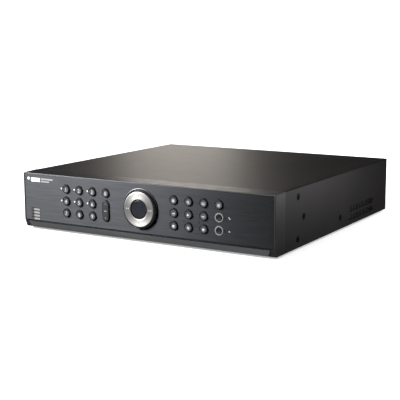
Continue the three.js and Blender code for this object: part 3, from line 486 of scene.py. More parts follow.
def circuit():
    """Solder mask over tracks."""
    look = Material("solder_mask", (0.012, 0.11, 0.05), 0.32, 0.0, Coat_Weight=0.4, Coat_Roughness=0.15)
    inputs = {"Vector": look.coordinates, "Scale": 420.0}
    tracks = look.node("ShaderNodeTexVoronoi", inputs, feature="DISTANCE_TO_EDGE", distance="CHEBYCHEV")
    lines = look.remap(tracks.outputs["Distance"], 0.02, 0.08, 1.0, 0.0)
    look.vary_color(lines, 0.3)
    look.bump(lines, 0.03, 0.4)
    return look.material


def clear_lens():
    look = Material("light_guide", (0.55, 0.57, 0.6), 0.3)
    look.set("Emission Color", (0.85, 0.9, 1.0, 1))
    look.set("Emission Strength", 0.12)
    return look.grain((600, 2, 0.05), None, (1500, 2, 0.004, 0.2))


looks = {
    "paint": powder_coat(),
    "bezel": bezel_plastic(),
    "face": brushed("brushed_face", (0.129, 0.13, 0.1365), 0.31, 0.98),
    # Only a quarter metallic: the trim's diffuse tone is a painted reflection of the pale floor in front of
    # it.
    "trim": brushed("brushed_trim", (0.062, 0.0625, 0.064), 0.36, 0.25),
    "ring": spun_metal("spun_metal", (0.9, 0.865, 0.82), 0.56, 0.5),
    "collar": spun_metal("collar_metal", (0.27, 0.27, 0.275), 0.42, 0.0),
    "key": key_metallic((0.3, 0.3, 0.305)),
    "rocker_face": key_metallic((0.16, 0.16, 0.165)),
    # Near-black caps round the keys' metallic discs: painted shade that stands in for the dark gap round each
    # key.
    "key_rim": moulded("key_rim", (0.007, 0.007, 0.0075), 0.48, 0.006),
    "enter": enter_plastic(),
    "black": moulded("black_plastic", (0.012, 0.012, 0.013), 0.38),
    "rubber": moulded("foot_rubber", (0.018, 0.018, 0.018), 0.75, 0.05, 700),
    "print": print_ink("pale_print", (0.72, 0.73, 0.75)),
    "key_print": print_ink("key_print", (0.45, 0.45, 0.46)),
    "dim_print": print_ink("dim_print", (0.12, 0.12, 0.125)),
    "ring_print": print_ink("ring_print", (0.29, 0.29, 0.29)),
    "sign_print": print_ink("sign_print", (0.25, 0.25, 0.25)),
    "dark_print": print_ink("dark_print", (0.02, 0.02, 0.022)),
    "silver_print": print_ink("silver_print", (0.2, 0.197, 0.188), 0.5),
    "bronze_print": print_ink("bronze_print", (0.06, 0.052, 0.045), 0.45),
    "lens": clear_lens(),
    "lens_dark": moulded("dark_lens", (0.01, 0.01, 0.012), 0.6, 0.004),
    "status_ring": moulded("status_ring", (0.17, 0.17, 0.172), 0.45, 0.004),
    # Black screws, made dull and near black partly as painted shade inside the cover's screw hollows.
    "screw": plated("black_screw_and_hollow_shade", (0.012, 0.012, 0.0125), 0.5, 900),
    # Near black, for painted shade on the walls of the cover's screw hollows and vent slots.
    "shade": moulded("painted_shade_walls", (0.004, 0.004, 0.004), 0.6, 0.01),
    "nickel": plated("nickel", (0.72, 0.71, 0.68), 0.22, 700),
    "gold": plated("gold_contact", (0.9, 0.66, 0.25), 0.25, 900),
    "zinc": zinc_sheet(),
    "drive": plated("drive_casting", (0.5, 0.51, 0.52), 0.42, 300),
    "fin": plated("fin_metal", (0.42, 0.43, 0.45), 0.4, 300),
    "board": circuit(),
    "terminal": moulded("terminal_green", (0.03, 0.2, 0.08), 0.42),
    "insulator": moulded("white_insulator", (0.75, 0.74, 0.7), 0.45, 0.01),
}


# ---- front


BEZEL = {
    "front_top": 87.0, "chin_top": 14.4, "chin_bottom": 4.5,
    "wall": 2.5, "front_wall": 5.5, "floor": 3.0, "edge": 0.6,
}
POCKET = {"gap": 0.4, "depth": 1.5}
GROOVE = {"half": 208.2, "bottom": 12.8, "depth": 2.6}
KEY_WINDOW_MARGIN = 10.2
LEFT_WINDOW_MARGIN = 14.4  # room for the lights left of the number keys
RIGHT_WINDOW_MARGIN = 15.1  # room for the status lights right of the ring keys


def build_bezel():
    """A moulded frame, open behind, with a pocket for the face plate and windows for the keys."""
    low, high = span("front_bezel")
    y0, y1 = FRONT, high.y
    outline = rounded(
        [
            (y1, low.z), (y1, high.z), (y0, BEZEL["front_top"], 0.9), (y0, BEZEL["chin_top"], 0.5),
            (y0 + BEZEL["chin_bottom"], low.z, 0.7),
        ],
        closed=True,
        steps=3,
    )
    edge = BEZEL["edge"]
    rings = []
    for x, inset in ((low.x, edge), (low.x + edge * 0.3, edge * 0.3), (low.x + edge, 0)):
        rings.append((shrunk(outline, inset), x))
    rings += [(outline, -x) for outline, x in reversed(rings)]
    bezel = Shape().loft(rings, "X").object("bezel_shell")
    plate_low, plate_high = span("face_plate")
    gap, half = POCKET["gap"], GROOVE["half"]
    wall, front_wall = BEZEL["wall"], y0 + BEZEL["front_wall"]
    hollow = (
        (low.x + wall, front_wall, low.z + BEZEL["floor"]),
        (high.x - wall, y1 + 1, BEZEL["front_top"] - wall),
    )
    pocket = (
        (plate_low.x - gap, y0 - 1, plate_low.z - gap),
        (plate_high.x + gap, y0 + POCKET["depth"], plate_high.z + gap),
    )
    groove = ((-half, y0 - 1, GROOVE["bottom"]), (half, y0 + GROOVE["depth"], plate_low.z))
    for corners in (hollow, pocket, groove):
        combine(bezel, Shape().box(*corners))
    cuts = Shape()
    bottom = middle("number_key_7").z - KEY_WINDOW_MARGIN
    top = middle("number_key_1").z + KEY_WINDOW_MARGIN
    for x0, x1 in (
        (middle("number_key_1").x - LEFT_WINDOW_MARGIN, middle("rocker_key").x + KEY_WINDOW_MARGIN),
        (middle("function_key_1").x - KEY_WINDOW_MARGIN, middle("ring_key_upper").x + RIGHT_WINDOW_MARGIN),
    ):
        cuts.box((x0, y0, bottom), (x1, front_wall + 1, top))
    cuts.prism(circle(DIAL_HOLE + 0.7, (DIAL.x, DIAL.z), 64), y0, front_wall + 1)
    combine(bezel, cuts)
    shade(bezel, 30)
    piece(bezel, "bezel", replaces=["front_bezel"])


def shrunk(outline, inset):
    """An outline pulled in towards its middle by about an inset."""
    if not inset:
        return outline
    a = [p[0] for p in outline]
    b = [p[1] for p in outline]
    ca, cb = (min(a) + max(a)) / 2, (min(b) + max(b)) / 2
    ka = 1 - 2 * inset / (max(a) - min(a))
    kb = 1 - 2 * inset / (max(b) - min(b))
    return [(ca + (x - ca) * ka, cb + (z - cb) * kb) for x, z in outline]


def build_face_plate():
    low, high = span("face_plate")
    outline = rounded([(*corner, 0.8) for corner in rectangle(low.x, low.z, high.x, high.z)], closed=True)
    plate = Shape().prism(outline, low.y, high.y).object("face_sheet")
    holes = Shape()
    before, behind = low.y - 1, high.y + 1
    key_holes = [(node, KEY_HOLE) for node in NUMBER_KEYS + FUNCTION_KEYS]
    for node, radius in key_holes + [(node, RING_KEY_HOLE) for node in RING_KEYS]:
        centre = middle(node)
        holes.prism(circle(radius, (centre.x, centre.z), 64), before, behind)
    holes.prism(circle(DIAL_HOLE, (DIAL.x, DIAL.z), 96), before, behind)
    half, reach, place = rocker_outline()
    hole = stadium(half + ROCKER_CLEARANCE, reach + ROCKER_CLEARANCE, place, 20)
    holes.prism(hole, before, behind)
    for x, z in channel_lights() + status_lights():
        holes.prism(circle(LIGHT_HOLE, (x, z), 24), before, behind)
    for x, z in small_lights():
        holes.prism(circle(SMALL_LIGHT_HOLE, (x, z), 20), before, behind)
    combine(plate, holes)
    soften(plate, 0.22)
    piece(plate, "face", replaces=["face_plate"])


def rocker_outline():
    """Half the width and half the height of the rocker's cap, and its middle as (x, z)."""
    low, high = span("rocker_key")
    half = (high.x - low.x) / 2 - ROCKER_FLANGE
    reach = (high.z - low.z) / 2 - ROCKER_FLANGE
    centre = middle("rocker_key")
    return half, reach, (centre.x, centre.z)


def channel_lights():
    """The lights beside the upper six number keys."""
    left = span("channel_light_guide")[0].x + LENS_RADIUS
    dx = left - middle("number_key_1").x
    nodes = NUMBER_KEYS[:6]
    return [(middle(node).x + dx, middle(node).z) for node in nodes]


def status_lights():
    right = span("status_light_guide")[1].x - LENS_RADIUS
    return [(right, middle(node).z) for node in RING_KEYS]


def small_lights():
    offset = 7.4  # up and to the left of the key
    nodes = ("function_key_9", "function_key_10")
    return [(middle(node).x - offset, middle(node).z + offset) for node in nodes]


def dish(radius, front):
    """Depth of a key's hollow face at a distance from its middle."""
    return lambda r: front + KEY_DISH * (1 - (min(r, radius) / radius) ** 2)


def build_key(node, cap, flange_front):
    """A dished cap in front of a flange and a stem."""
    low, high = span(node)
    flange, start, back = (high.x - low.x) / 2, FRONT + flange_front, high.y
    rim = cap - KEY_RIM
    face = dish(rim, low.y)
    steps = 10
    profile = [(rim * i / steps, face(rim * i / steps)) for i in range(steps + 1)]
    profile += arc((cap - 0.4, low.y + 0.4), 0.4, -90, 0, 4)
    profile += [(cap, start), (flange, start), (flange, start + 1), (2, start + 1), (2, back), (0, back)]
    shape = Shape().turned(profile, middle(node), segments=64)
    # The cap's near-black plastic paints the shade of the gap round the key.
    smooth_piece(shape, node + "_cap", "key_rim", node, [node])


def build_key_face(node):
    """The thin metallic disc in the hollow of a key's face."""
    face = dish(KEY_CAP - KEY_RIM, span(node)[0].y)
    steps = 8
    places = [KEY_DISC * i / steps for i in range(steps + 1)]
    profile = [(r, face(r) - 0.05) for r in places] + [(r, face(r) + 0.2) for r in reversed(places)]
    shape = Shape().turned(profile, middle(node), segments=48)
    smooth_piece(shape, node + "_face", "key", node)


def build_keys():
    for node in NUMBER_KEYS + FUNCTION_KEYS:
        build_key(node, KEY_CAP, KEY_FLANGE)
        build_key_face(node)
    for node in RING_KEYS:
        build_key(node, RING_KEY_CAP, RING_KEY_FLANGE)


def build_rocker():
    low, high = span("rocker_key")
    half, reach, (x, z) = rocker_outline()

    def layered(layers):
        """Round-ended outlines, each with its inset and its depth behind the front."""
        return [(stadium(half - inset, reach - inset, (x, z), 16), low.y + drop) for inset, drop in layers]

    shape = Shape().loft(layered([(0.0, 4.5), (0.0, 0.6), (0.1, 0.35), (0.3, 0.15), (0.6, 0.06)]))
    flange = stadium(half + ROCKER_FLANGE, reach + ROCKER_FLANGE, (x, z), 16)
    shape.prism(flange, FRONT + 2.4, FRONT + 3.4)
    for dz in (-10, 10):
        shape.turned(rod(1.5, FRONT + 3, high.y), (x, 0, z + dz), segments=24)
    # Near black round the rocker's face: painted shade for the gap round it.
    smooth_piece(shape, "rocker_cap", "key_rim", "rocker_key", ["rocker_key"])
    face = Shape().loft(layered([(1.4, 0.3), (1.25, 0.06), (1.4, 0.01), (1.7, 0.0)]))
    smooth_piece(face, "rocker_face", "rocker_face", "rocker_key")


def build_dial():
    """The four-way ring in its collar, with the round key in its middle."""
    def ring_shape(points, steps, segments):
        """A closed outline of (radius, depth behind the plate's front) points turned about the middle."""
        outline = rounded([(p[0], FRONT + p[1], *p[2:]) for p in points], True, steps)
        return Shape().turned(outline + outline[:1], DIAL, segments=segments)

    collar = [(28.3, -1.5, 0.55), (29.9, -1.5, 0.95), (29.9, -0.3), (28.9, -0.3), (28.9, 3), (28.3, 3)]
    shape = ring_shape(collar, 6, 128)
    smooth_piece(shape, "dial_bezel_ring", "collar", CASE, ["dial_collar"])

    skirt = [
        (27.6, 2.6), (25.4, 2.6), (25.4, -2.5), (15.4, -2.5), (15.4, 2.6), (14.0, 2.6),
        (14.0, -4.5, 0.15), (26.9, -4.5, 0.3), (26.9, -3.7, 0.1), (26.3, -3.5, 0.1), (26.3, -3.1, 0.1),
        (27.4, -2.9, 0.15), (27.4, -1.7, 0.1), (26.8, -1.5, 0.1), (26.8, -1.1, 0.1), (27.6, -0.9, 0.15),
    ]
    shape = ring_shape(skirt, 3, 128)
    for i in range(4):
        angle = i * pi / 2
        place = (DIAL.x + 22 * cos(angle), 0, DIAL.z + 22 * sin(angle))
        shape.turned(rod(1.5, FRONT - 2.6, FRONT + 7.6), place, segments=24)
    smooth_piece(shape, "dial_skirt", "black", "dial_ring", ["dial_ring_body"])

    face = [
        (14.3, -5.05, 0.2), (15.1, -5.35, 0.3), (19.7, -5.2, 3), (24.5, -5.4, 0.4),
        (25.2, -4.95, 0.15), (25.2, -4.8), (14.3, -4.8),
    ]
    shape = ring_shape(face, 6, 160)
    smooth_piece(shape, "dial_face", "ring", "dial_ring", ["dial_ring_face"], 50)

    low, high = span("enter_key")
    front = low.y
    disc = rounded(
        [
            (0, front + 0.6), (6, front + 0.5, 4), (10.8, front + 0.12, 2), (12.4, front, 0.35),
            (13.1, front + 0.5, 0.25), (13.1, FRONT + 2), (3, FRONT + 2), (3, high.y), (0, high.y),
        ],
        steps=6,
    )
    shape = Shape().turned(disc, DIAL, segments=96)
    smooth_piece(shape, "enter_disc", "enter", "enter_key", ["enter_key"])


def build_lights():
    """Lens fronts of the light guides, and the two bright rings."""
    channel = Shape()
    for x, z in channel_lights():
        lens = [
            (0, FRONT - 0.3), (0.7, FRONT - 0.22), (1.15, FRONT + 0.05),
            (LENS_RADIUS, FRONT + 0.4), (LENS_RADIUS, FRONT + 5.6), (0, FRONT + 5.6),
        ]
        channel.turned(lens, (x, 0, z), segments=24)
    smooth_piece(channel, "channel_lenses", "lens", CASE, (), 50)
    dark = Shape()
    for radius, places in ((LENS_RADIUS, status_lights()), (SMALL_LENS_RADIUS, small_lights())):
        for x, z in places:
            dark.turned(rod(radius, FRONT + 0.15, FRONT + 1.8), (x, 0, z), segments=24)
    smooth_piece(dark, "status_lenses", "lens_dark", CASE, (), 50)
    rings = Shape()
    for node in RING_KEYS:
        ring = rounded(
            [(4.8, FRONT - 0.45, 0.2), (6.5, FRONT - 0.45, 0.2), (6.5, FRONT + 1.6), (4.8, FRONT + 1.6)],
            closed=True,
        )
        rings.turned(ring + ring[:1], middle(node), segments=64)
    smooth_piece(rings, "status_rings", "status_ring", CASE, (), 50)


# ---- print


def drawn(name, outlines, surface, look, body, thickness=0.04):
    """Flat outlines of (x, z) points laid on a surface whose depth is a function of (x, z)."""
    shape = Shape()
    for outline in outlines:
        shape.prism(outline, -thickness, thickness)
    shape.verts = [(x, surface(x, z) + y, z) for x, y, z in shape.verts]
    piece(shape.object(name), look, body)


def ring_outlines(outer, inner, centre=(0, 0), steps=20):
    """A ring as short straight blocks."""
    out = []
    for i in range(steps):
        a0, a1 = 360 * i / steps, 360 * (i + 1.02) / steps
        out.append(arc(centre, outer, a0, a1, 1) + arc(centre, inner, a1, a0, 1))
    return out


def triangle(x, z, size, direction):
    """A triangle whose tip points along +X or -X."""
    tail, tip = x - direction * size * 0.5, x + direction * size * 0.5
    return [(tail, z - size * 0.6), (tip, z), (tail, z + size * 0.6)]


def pictograms():
    """Ten plain signs, as outlines round (0, 0)."""
    square = [rectangle(-1.4, -1.4, 1.4, 1.4)]
    grid = [rectangle(x, z, x + 1.3, z + 1.3) for x in (-1.5, 0.2) for z in (-1.5, 0.2)]
    pause = [rectangle(-1.3, -1.5, -0.4, 1.5), rectangle(0.4, -1.5, 1.3, 1.5)]
    lens = ring_outlines(1.3, 0.8, (-0.4, 0.4)) + [[(0.3, -0.6), (0.7, -0.2), (1.8, -1.3), (1.4, -1.7)]]
    menu = [rectangle(-1.6, z, 1.6, z + 0.5) for z in (-1.3, -0.25, 0.8)]
    back = [triangle(-0.9, 0, 1.7, -1), triangle(0.9, 0, 1.7, -1)]
    forward = [triangle(-0.9, 0, 1.7, 1), triangle(0.9, 0, 1.7, 1)]
    frame_sign = [
        rectangle(-1.7, -1.3, 1.7, -0.8), rectangle(-1.7, 0.8, 1.7, 1.3),
        rectangle(-1.7, -0.8, -1.2, 0.8), rectangle(1.2, -0.8, 1.7, 0.8),
    ]
    play, record = [triangle(0, 0, 2.6, 1)], [circle(1.4, steps=24)]
    return [grid, lens, frame_sign, menu, back, play, forward, square, pause, record]


def digit_shape(text, height, centre):
    """A digit's flat mesh at a place, as a Shape with its front at y = 0."""
    curve = bpy.data.curves.new("digit", "FONT")
    curve.body = text
    curve.size = height / 0.7 * MM
    curve.align_x = "CENTER"
    curve.align_y = "CENTER"
    curve.resolution_u = 4
    curve.extrude = 0.04 * MM
    obj = linked("digit", curve)
    bpy.context.view_layer.update()
    mesh = bpy.data.meshes.new_from_object(obj)
    shape = Shape()
    verts = [(v.co.x / MM + centre.x, v.co.z / MM, v.co.y / MM + centre.z) for v in mesh.vertices]
    shape.add(verts, [list(p.vertices) for p in mesh.polygons])
    bpy.data.objects.remove(obj)
    return shape


def on_cap(node):
    """The depth of a round key's hollow face, as a function of (x, z)."""
    centre = middle(node)
    depth = dish(KEY_CAP - KEY_RIM, span(node)[0].y)
    return lambda x, z: depth(hypot(x - centre.x, z - centre.z)) - 0.05


def build_legends():
    """Digits, plain signs and marks on the keys and on the ring."""
    drop = 0.9  # the signs sit a little below the keys' middles
    enlarged = 1.15
    for node in NUMBER_KEYS:
        centre = middle(node) - Vector((0, 0, drop))
        shape = digit_shape(node[-1], 5.2, centre)
        surface = on_cap(node)
        shape.verts = [(x, surface(x, z) + y, z) for x, y, z in shape.verts]
        piece(shape.object(node + "_digit"), "key_print", node)
    for node, sign in zip(FUNCTION_KEYS, pictograms()):
        centre = middle(node) - Vector((0, 0, drop))
        outlines = [
            [(x * enlarged + centre.x, z * enlarged + centre.z) for x, z in outline] for outline in sign
        ]
        drawn(node + "_sign", outlines, on_cap(node), "key_print", node)

    low, high = span("rocker_key")
    centre = (low + high) / 2
    bar = rectangle(centre.x - 2.1, centre.z - 0.6, centre.x + 2.1, centre.z + 0.6)
    ends = []
    for sign in (-1, 1):
        z = centre.z + sign * 10.5
        foot, tip = z - sign * 0.9, z + sign * 1.2
        ends.append([(centre.x - 1.7, foot), (centre.x + 1.7, foot), (centre.x, tip)])
    on_rocker = lambda x, z: low.y + 0.03
    drawn("rocker_bar", [bar], on_rocker, "sign_print", "rocker_key")
    drawn("rocker_signs", ends, on_rocker, "dim_print", "rocker_key")

    marks = []
    radius = 19.7
    for side in (-1, 1):
        x = DIAL.x + side * radius
        marks += [triangle(x - 1.5, DIAL.z, 2.3, side), triangle(x + 1.5, DIAL.z, 2.3, side)]
        z = DIAL.z + side * radius
        marks.append([(DIAL.x - 1.5, z - side), (DIAL.x + 1.5, z - side), (DIAL.x, z + side * 1.2)])
    on_ring = lambda x, z: FRONT - 5.25
    drawn("dial_signs", marks, on_ring, "ring_print", "dial_ring", 0.08)


def build_plate_print():
    """Plain marks on the face plate: no name and no lettering."""
    def on_plate(name, outlines, look, raised=0.0):
        drawn(name, outlines, lambda x, z: FRONT - raised, look, CASE, PRINT)

    badge = [rectangle(-200, 74, -183, 80), circle(2.2, (-205, 78.5), 24)]
    on_plate("plain_badge", badge, "print")
    on_plate("badge_lines", [rectangle(-181, 77.6, -158, 80), rectangle(-181, 74, -165, 76)], "sign_print")
    on_plate("chips_panel", [rectangle(-201, 14.7, -184.2, 34)], "dark_print")
    chips_bronze, chips_pale = [], []
    for i in range(4):
        z = 15.5 + i * 4.75
        chips_bronze.append(rectangle(-200.2, z + 0.5, -197, z + 2.8))
        chips_pale.append(rectangle(-195.8, z, -184.9, z + 3.1))
    on_plate("chips_bronze", chips_bronze, "bronze_print", PRINT)
    on_plate("chips_pale", chips_pale, "silver_print", PRINT)
    (x, upper), (_, lower) = status_lights()
    slant = [(x + 4.6, upper + 1.6), (x + 5.9, upper + 2.1), (x + 8.1, upper - 1.3), (x + 6.8, upper - 1.8)]
    on_plate("status_signs", [slant, circle(1.1, (x + 6.3, lower), 24)], "sign_print")


# ---- case


def build_cover():
    """One sheet bent over the top and both sides, with screw hollows and vent slots."""
    low, high = span("top_cover")
    half, top, bottom = high.x, high.z, low.z

    def hoop(inset):
        bend = BEND - inset
        x, z = half - inset - bend, top - inset - bend
        bends = arc((x, z), bend, 0, 90, 8) + arc((-x, z), bend, 90, 180, 8)
        return [(half - inset, bottom), *bends, (inset - half, bottom)]

    cover = Shape().prism(hoop(0) + hoop(SHEET)[::-1], low.y, high.y).object("cover_sheet")
    edge, throat, depth = DIMPLE["pad"], DIMPLE["throat"], half - DIMPLE["depth"]
    pad = [
        (0, half - 2.2), (edge - 1.4, half - 2.2), (edge, half - 0.9), (edge, half - 0.5),
        (0, half - 0.5),
    ]
    mouth = [
        (0, half - 4), (throat, half - 4), (throat, depth), (3.9, depth + 0.35),
        (DIMPLE["mouth"], half), (5.4, half + 0.6), (0, half + 0.6),
    ]
    slot_half, slot_reach = VENT["width"] / 2, VENT["height"] / 2
    pads, cutters = Shape(), Shape()
    for side, name in ((-1, "left"), (1, "right")):
        for place in SCREW_PLACES:
            centre = middle(f"side_screw_{name}_{place}")
            for shape, profile in ((pads, pad), (cutters, mouth)):
                shape.turned([(r, side * x) for r, x in profile], centre, "X", 40)
        ends = sorted((side * (half - 2), side * (half + 1)))
        for z in VENT["rows"]:
            for i in range(VENT["count"]):
                y = VENT["y"] + i * VENT["pitch"] + slot_half
                slot = stadium(slot_half, slot_reach, (y, z + slot_reach), 8)
                cutters.prism(slot, *ends, axis="X")
    combine(cover, pads, "UNION")
    combine(cover, cutters)
    soften(cover, 0.18, 2, 40)
    piece(cover, "paint", replaces=["top_cover"])
    screws = [middle(f"side_screw_right_{place}") for place in SCREW_PLACES]

    def in_shade(centre, normal):
        """True for the walls of the screw hollows and of the vent slots, which get near-black painted shade.
        """
        if abs(centre.x) < half - 4 or centre.z > high.z - 3:
            return False
        if any(hypot(centre.y - s.y, centre.z - s.z) < DIMPLE["mouth"] for s in screws):
            return abs(centre.x) < half - 0.02
        return abs(normal.x) < 0.5 and centre.y > VENT["y"] - 1

    # The walls of the screw hollows and vent slots are painted near black: painted shade that darkens the
    # vents and hollows.
    repaint(cover, "shade", in_shade)


def screw_mesh(name, head, shank, length, thickness, countersunk):
    """A cross-recess screw along +Z with its head's top at z = 0."""
    rim = 0.25
    if countersunk:
        profile = [(0, 0), (head - 0.1, 0), (head, -0.15), (shank, -thickness)]
    else:
        profile = [
            (0, 0), (head * 0.6, -0.12), (head - rim, -thickness * 0.4),
            (head, -thickness * 0.8), (head, -thickness), (shank, -thickness),
        ]
    profile += [(shank, -length + 0.5), (shank - 0.5, -length), (0, -length)]
    obj = Shape().turned(profile, (0, 0, 0), "Z", 40).object(name)
    combine(obj, cross_shape(head * 0.62, head * 0.26, 1.1))
    mesh = obj.data
    bpy.data.objects.remove(obj)
    return mesh


def cross_shape(reach, width, depth):
    """Two crossed, tapered blades that cut a screw's recess."""
    shape = Shape()
    for quarter in (0, pi / 2):
        arm = Shape().loft(
            [
                (rectangle(-reach, -width / 2, reach, width / 2), 0.3),
                (rectangle(-reach * 0.45, -width / 3, reach * 0.45, width / 3), -depth),
            ],
            "Z",
        )
        arm.moved(Matrix.Rotation(quarter + 0.4, 4, "Z"))
        shape.add(arm.verts, arm.faces)
    return shape


def place_screw(name, mesh, at, direction, look, replaces=()):
    obj = linked(name, mesh.copy())
    turn = Vector(direction).to_track_quat("Z", "Y").to_matrix().to_4x4()
    obj.matrix_world = Matrix.Translation(Vector(at) * MM) @ turn
    shade(obj, SMOOTH)
    piece(obj, look, replaces=replaces)


def build_screws():
    mesh = screw_mesh("side_screw", 3.7, 1.9, 10.9, 1.6, True)
    for side, name in ((-1, "left"), (1, "right")):
        for place in SCREW_PLACES:
            node = f"side_screw_{name}_{place}"
            low, high = span(node)
            centre = (low + high) / 2
            x = high.x if side > 0 else low.x
            at = (x, centre.y, centre.z)
            place_screw(f"screw_{name}_{place}", mesh, at, (side, 0, 0), "screw", [node])
    rear = screw_mesh("rear_screw", 2.9, 1.4, 5.0, 1.5, False)
    y, z = REAR + 1.5, span("base_tray")[1].z - 4.2
    for i, x in enumerate((-190, -40, 60, 200)):
        place_screw(f"rear_screw_{i}", rear, (x, y, z), (0, 1, 0), "nickel")
    fan = middle("fan_frame")
    for i, (dx, dz) in enumerate(((-25, -25), (-25, 25), (25, -25), (25, 25))):
        place_screw(f"fan_screw_{i}", rear, (fan.x + dx, y, fan.z + dz), (0, 1, 0), "nickel")


def build_feet():
    for end in ("front", "rear"):
        for side in ("left", "right"):
            node = f"foot_{end}_{side}"
            low, high = span(node)
            centre = (low + high) / 2
            r = (high.x - low.x) / 2
            profile = rounded([
                (0, 0.5), (r - 4.5, 0.5, 0.4), (r - 4.0, 0.0, 0.2), (r - 1.2, 0.0, 0.6),
                (r, high.z, 0.0), (0, high.z),
            ])
            pad = Shape().turned(profile, centre, "Z", 48)
            smooth_piece(pad, node + "_pad", "rubber", CASE, [node])


# ---- rear


def build_bnc():
    """Two rows of bayonet jacks on one housing."""
    low, high = span("bnc_jack_block")
    body_back = REAR - SHEET - 0.3
    housing = Shape().box((low.x, low.y, low.z), (high.x, body_back, high.z)).object("bnc_housing")
    soften(housing, 0.5)
    piece(housing, "black", replaces=["bnc_jack_block"])
    tip, base, r = high.y, REAR + 1.5, BNC["radius"]
    barrel = rounded(
        [
            (0, body_back - 0.2), (5.6, body_back - 0.2), (5.6, base, 0.3), (r, base, 0.2),
            (r, tip, 0.25), (r - 0.6, tip, 0.2), (r - 0.6, base), (0, base),
        ],
        steps=3,
    )
    core = cup(2.6, 1.1, base - 0.2, tip - 1.2, tip - 4)
    contact = cup(0.95, 0.5, tip - 4.1, tip - 1.6, tip - 3)
    shells, insulators, pins = Shape(), Shape(), Shape()
    for row in BNC["rows"]:
        for column in range(BNC["columns"]):
            x = BNC["x"] + column * BNC["pitch"]
            shells.turned(barrel, (x, 0, row), segments=40)
            for sign in (-1, 1):
                inner, outer = row + sign * (r - 0.3), row + sign * (r + 0.7)
                lug = [(0, inner), (0.9, inner), (0.9, outer), (0, row + sign * (r + 0.8))]
                shells.turned(lug, (x, tip - 3.2, 0), "Z", 16)
            insulators.turned(core, (x, 0, row), segments=28)
            pins.turned(contact, (x, 0, row), segments=16)
    smooth_piece(shells, "bnc_shells", "nickel", CASE)
    smooth_piece(insulators, "bnc_insulators", "insulator", CASE)
    smooth_piece(pins, "bnc_contacts", "gold", CASE)


def build_ports():
    low, high = span("port_block")
    left, bottom = low.x, low.z
    face = REAR + 1.2
    contacts = Shape()
    for i in range(8):
        x = left + 4.9 + i * 1.02
        contacts.box((x, face - 10, bottom + 9.9), (x + 0.45, face - 3, bottom + 10.4))
    piece(contacts.object("network_contacts"), "gold")
    holes = Shape()
    for row in range(3):
        for i in range(5):
            x = left + 66.0 + i * 2.3 + (0.6 if row == 1 else 0)
            z = bottom + 5.7 + row * 2.2
            holes.turned(rod(0.55, high.y - 0.2, high.y + 0.03), (x, 0, z), segments=12)
    piece(holes.object("video_socket_holes"), "black")


def build_terminals():
    low, high = span("terminal_block")
    poles = 16
    pitch = (high.x - low.x) / poles
    screws, slots = Shape(), Shape()
    for i in range(poles):
        x, z = low.x + pitch * (i + 0.5), high.z - 3.4
        head = [
            (0, high.y - 0.3), (1.7, high.y - 0.3), (1.7, high.y + 0.15), (1.5, high.y + 0.3),
            (0, high.y + 0.3),
        ]
        screws.turned(head, (x, 0, z), segments=24)
        slots.box((x - 1.9, high.y, z - 0.25), (x + 1.9, high.y + 1, z + 0.25))
    obj = screws.object("terminal_screws")
    combine(obj, slots)
    shade(obj, 40)
    piece(obj, "nickel")


def build_inlet():
    low, high = span("power_inlet")
    centre = low.x + 16.5
    pins = Shape()
    for x, z in ((centre - 7, 36), (centre + 7, 36), (centre, 41)):
        pins.box((x - 1.1, high.y - 14.9, z - 2.1), (x + 1.1, high.y - 2.9, z + 2.1))
    obj = pins.object("inlet_pins")
    soften(obj, 0.4)
    piece(obj, "nickel")


# ---- inside


# CAD nodes that keep their own shape: the look, the width of the softened edges and their steps.
DRESSED = {
    "lower_trim": ("trim", 0.25, 2),
    "base_tray": ("zinc", 0.15, 1),
    "channel_light_guide": ("lens", 0.0, 0),
    "status_light_guide": ("lens_dark", 0.0, 0),
    "port_block": ("nickel", 0.2, 2),
    "terminal_block": ("terminal", 0.25, 2),
    "power_inlet": ("black", 0.3, 2),
    "power_switch": ("black", 0.35, 3),
    "main_board": ("board", 0.1, 1),
    "key_board": ("board", 0.1, 1),
    "heat_sink": ("fin", 0.1, 1),
    "hard_drive_left": ("drive", 0.5, 2),
    "hard_drive_right": ("drive", 0.5, 2),
    "power_supply": ("zinc", 0.2, 1),
    "dial_gimbal": ("black", 0.1, 1),
    "fan_frame": ("black", 0.3, 2),
}


def dress_nodes():
    for node, (look, bevel, segments) in DRESSED.items():
        dress(node, look, bevel, segments)


def build_fan():
    """Seven swept blades round a hub, in the frame's bore."""
    low, high = span("fan_rotor")
    centre = middle("fan_frame")
    hub_front, hub_rear = low.y, high.y
    root, tip = 13.0, 27.0
    profile = rounded([(0, hub_front), (13.5, hub_front, 1.2), (13.5, hub_rear, 0.4), (0, hub_rear)])
    shape = Shape().turned(profile, centre, segments=64)
    blades, steps = 7, 8
    for blade in range(blades):
        verts, faces = [], []
        for i in range(steps + 1):
            share = i / steps
            r = root + (tip - root) * share
            sweep = blade * TURN / blades + 0.35 * share
            chord = 0.50 - 0.10 * share
            pitch = 6.0 - 1.0 * share
            for thickness in (-0.45, 0.45):
                for end in (-1, 0, 1):
                    angle = sweep + end * chord / 2 * (14.0 / r + 0.6)
                    y = (hub_front + hub_rear) / 2 - end * pitch + thickness + (0.9 if end == 0 else 0)
                    verts.append((centre.x + r * cos(angle), y, centre.z + r * sin(angle)))
        for i in range(steps):
            a, b = i * 6, (i + 1) * 6
            faces += [[a, a + 1, b + 1, b], [a + 1, a + 2, b + 2, b + 1]]
            faces += [[a + 3, b + 3, b + 4, a + 4], [a + 4, b + 4, b + 5, a + 5]]
            faces += [[a, b, b + 3, a + 3], [a + 2, a + 5, b + 5, b + 2]]
        end = steps * 6
        faces += [[0, 3, 4, 1], [1, 4, 5, 2]]
        faces += [[end, end + 1, end + 4, end + 3], [end + 1, end + 2, end + 5, end + 4]]
        shape.add(verts, faces)
    smooth_piece(shape, "fan_blades", "black", "fan_rotor", ["fan_rotor"], 50)


# ---- stage


CAMERA = {
    "at": (0.76862, -1.3174, 0.29977), "azimuth": 31.08, "elevation": 10.01, "roll": -0.26, "lens": 86.8,
}


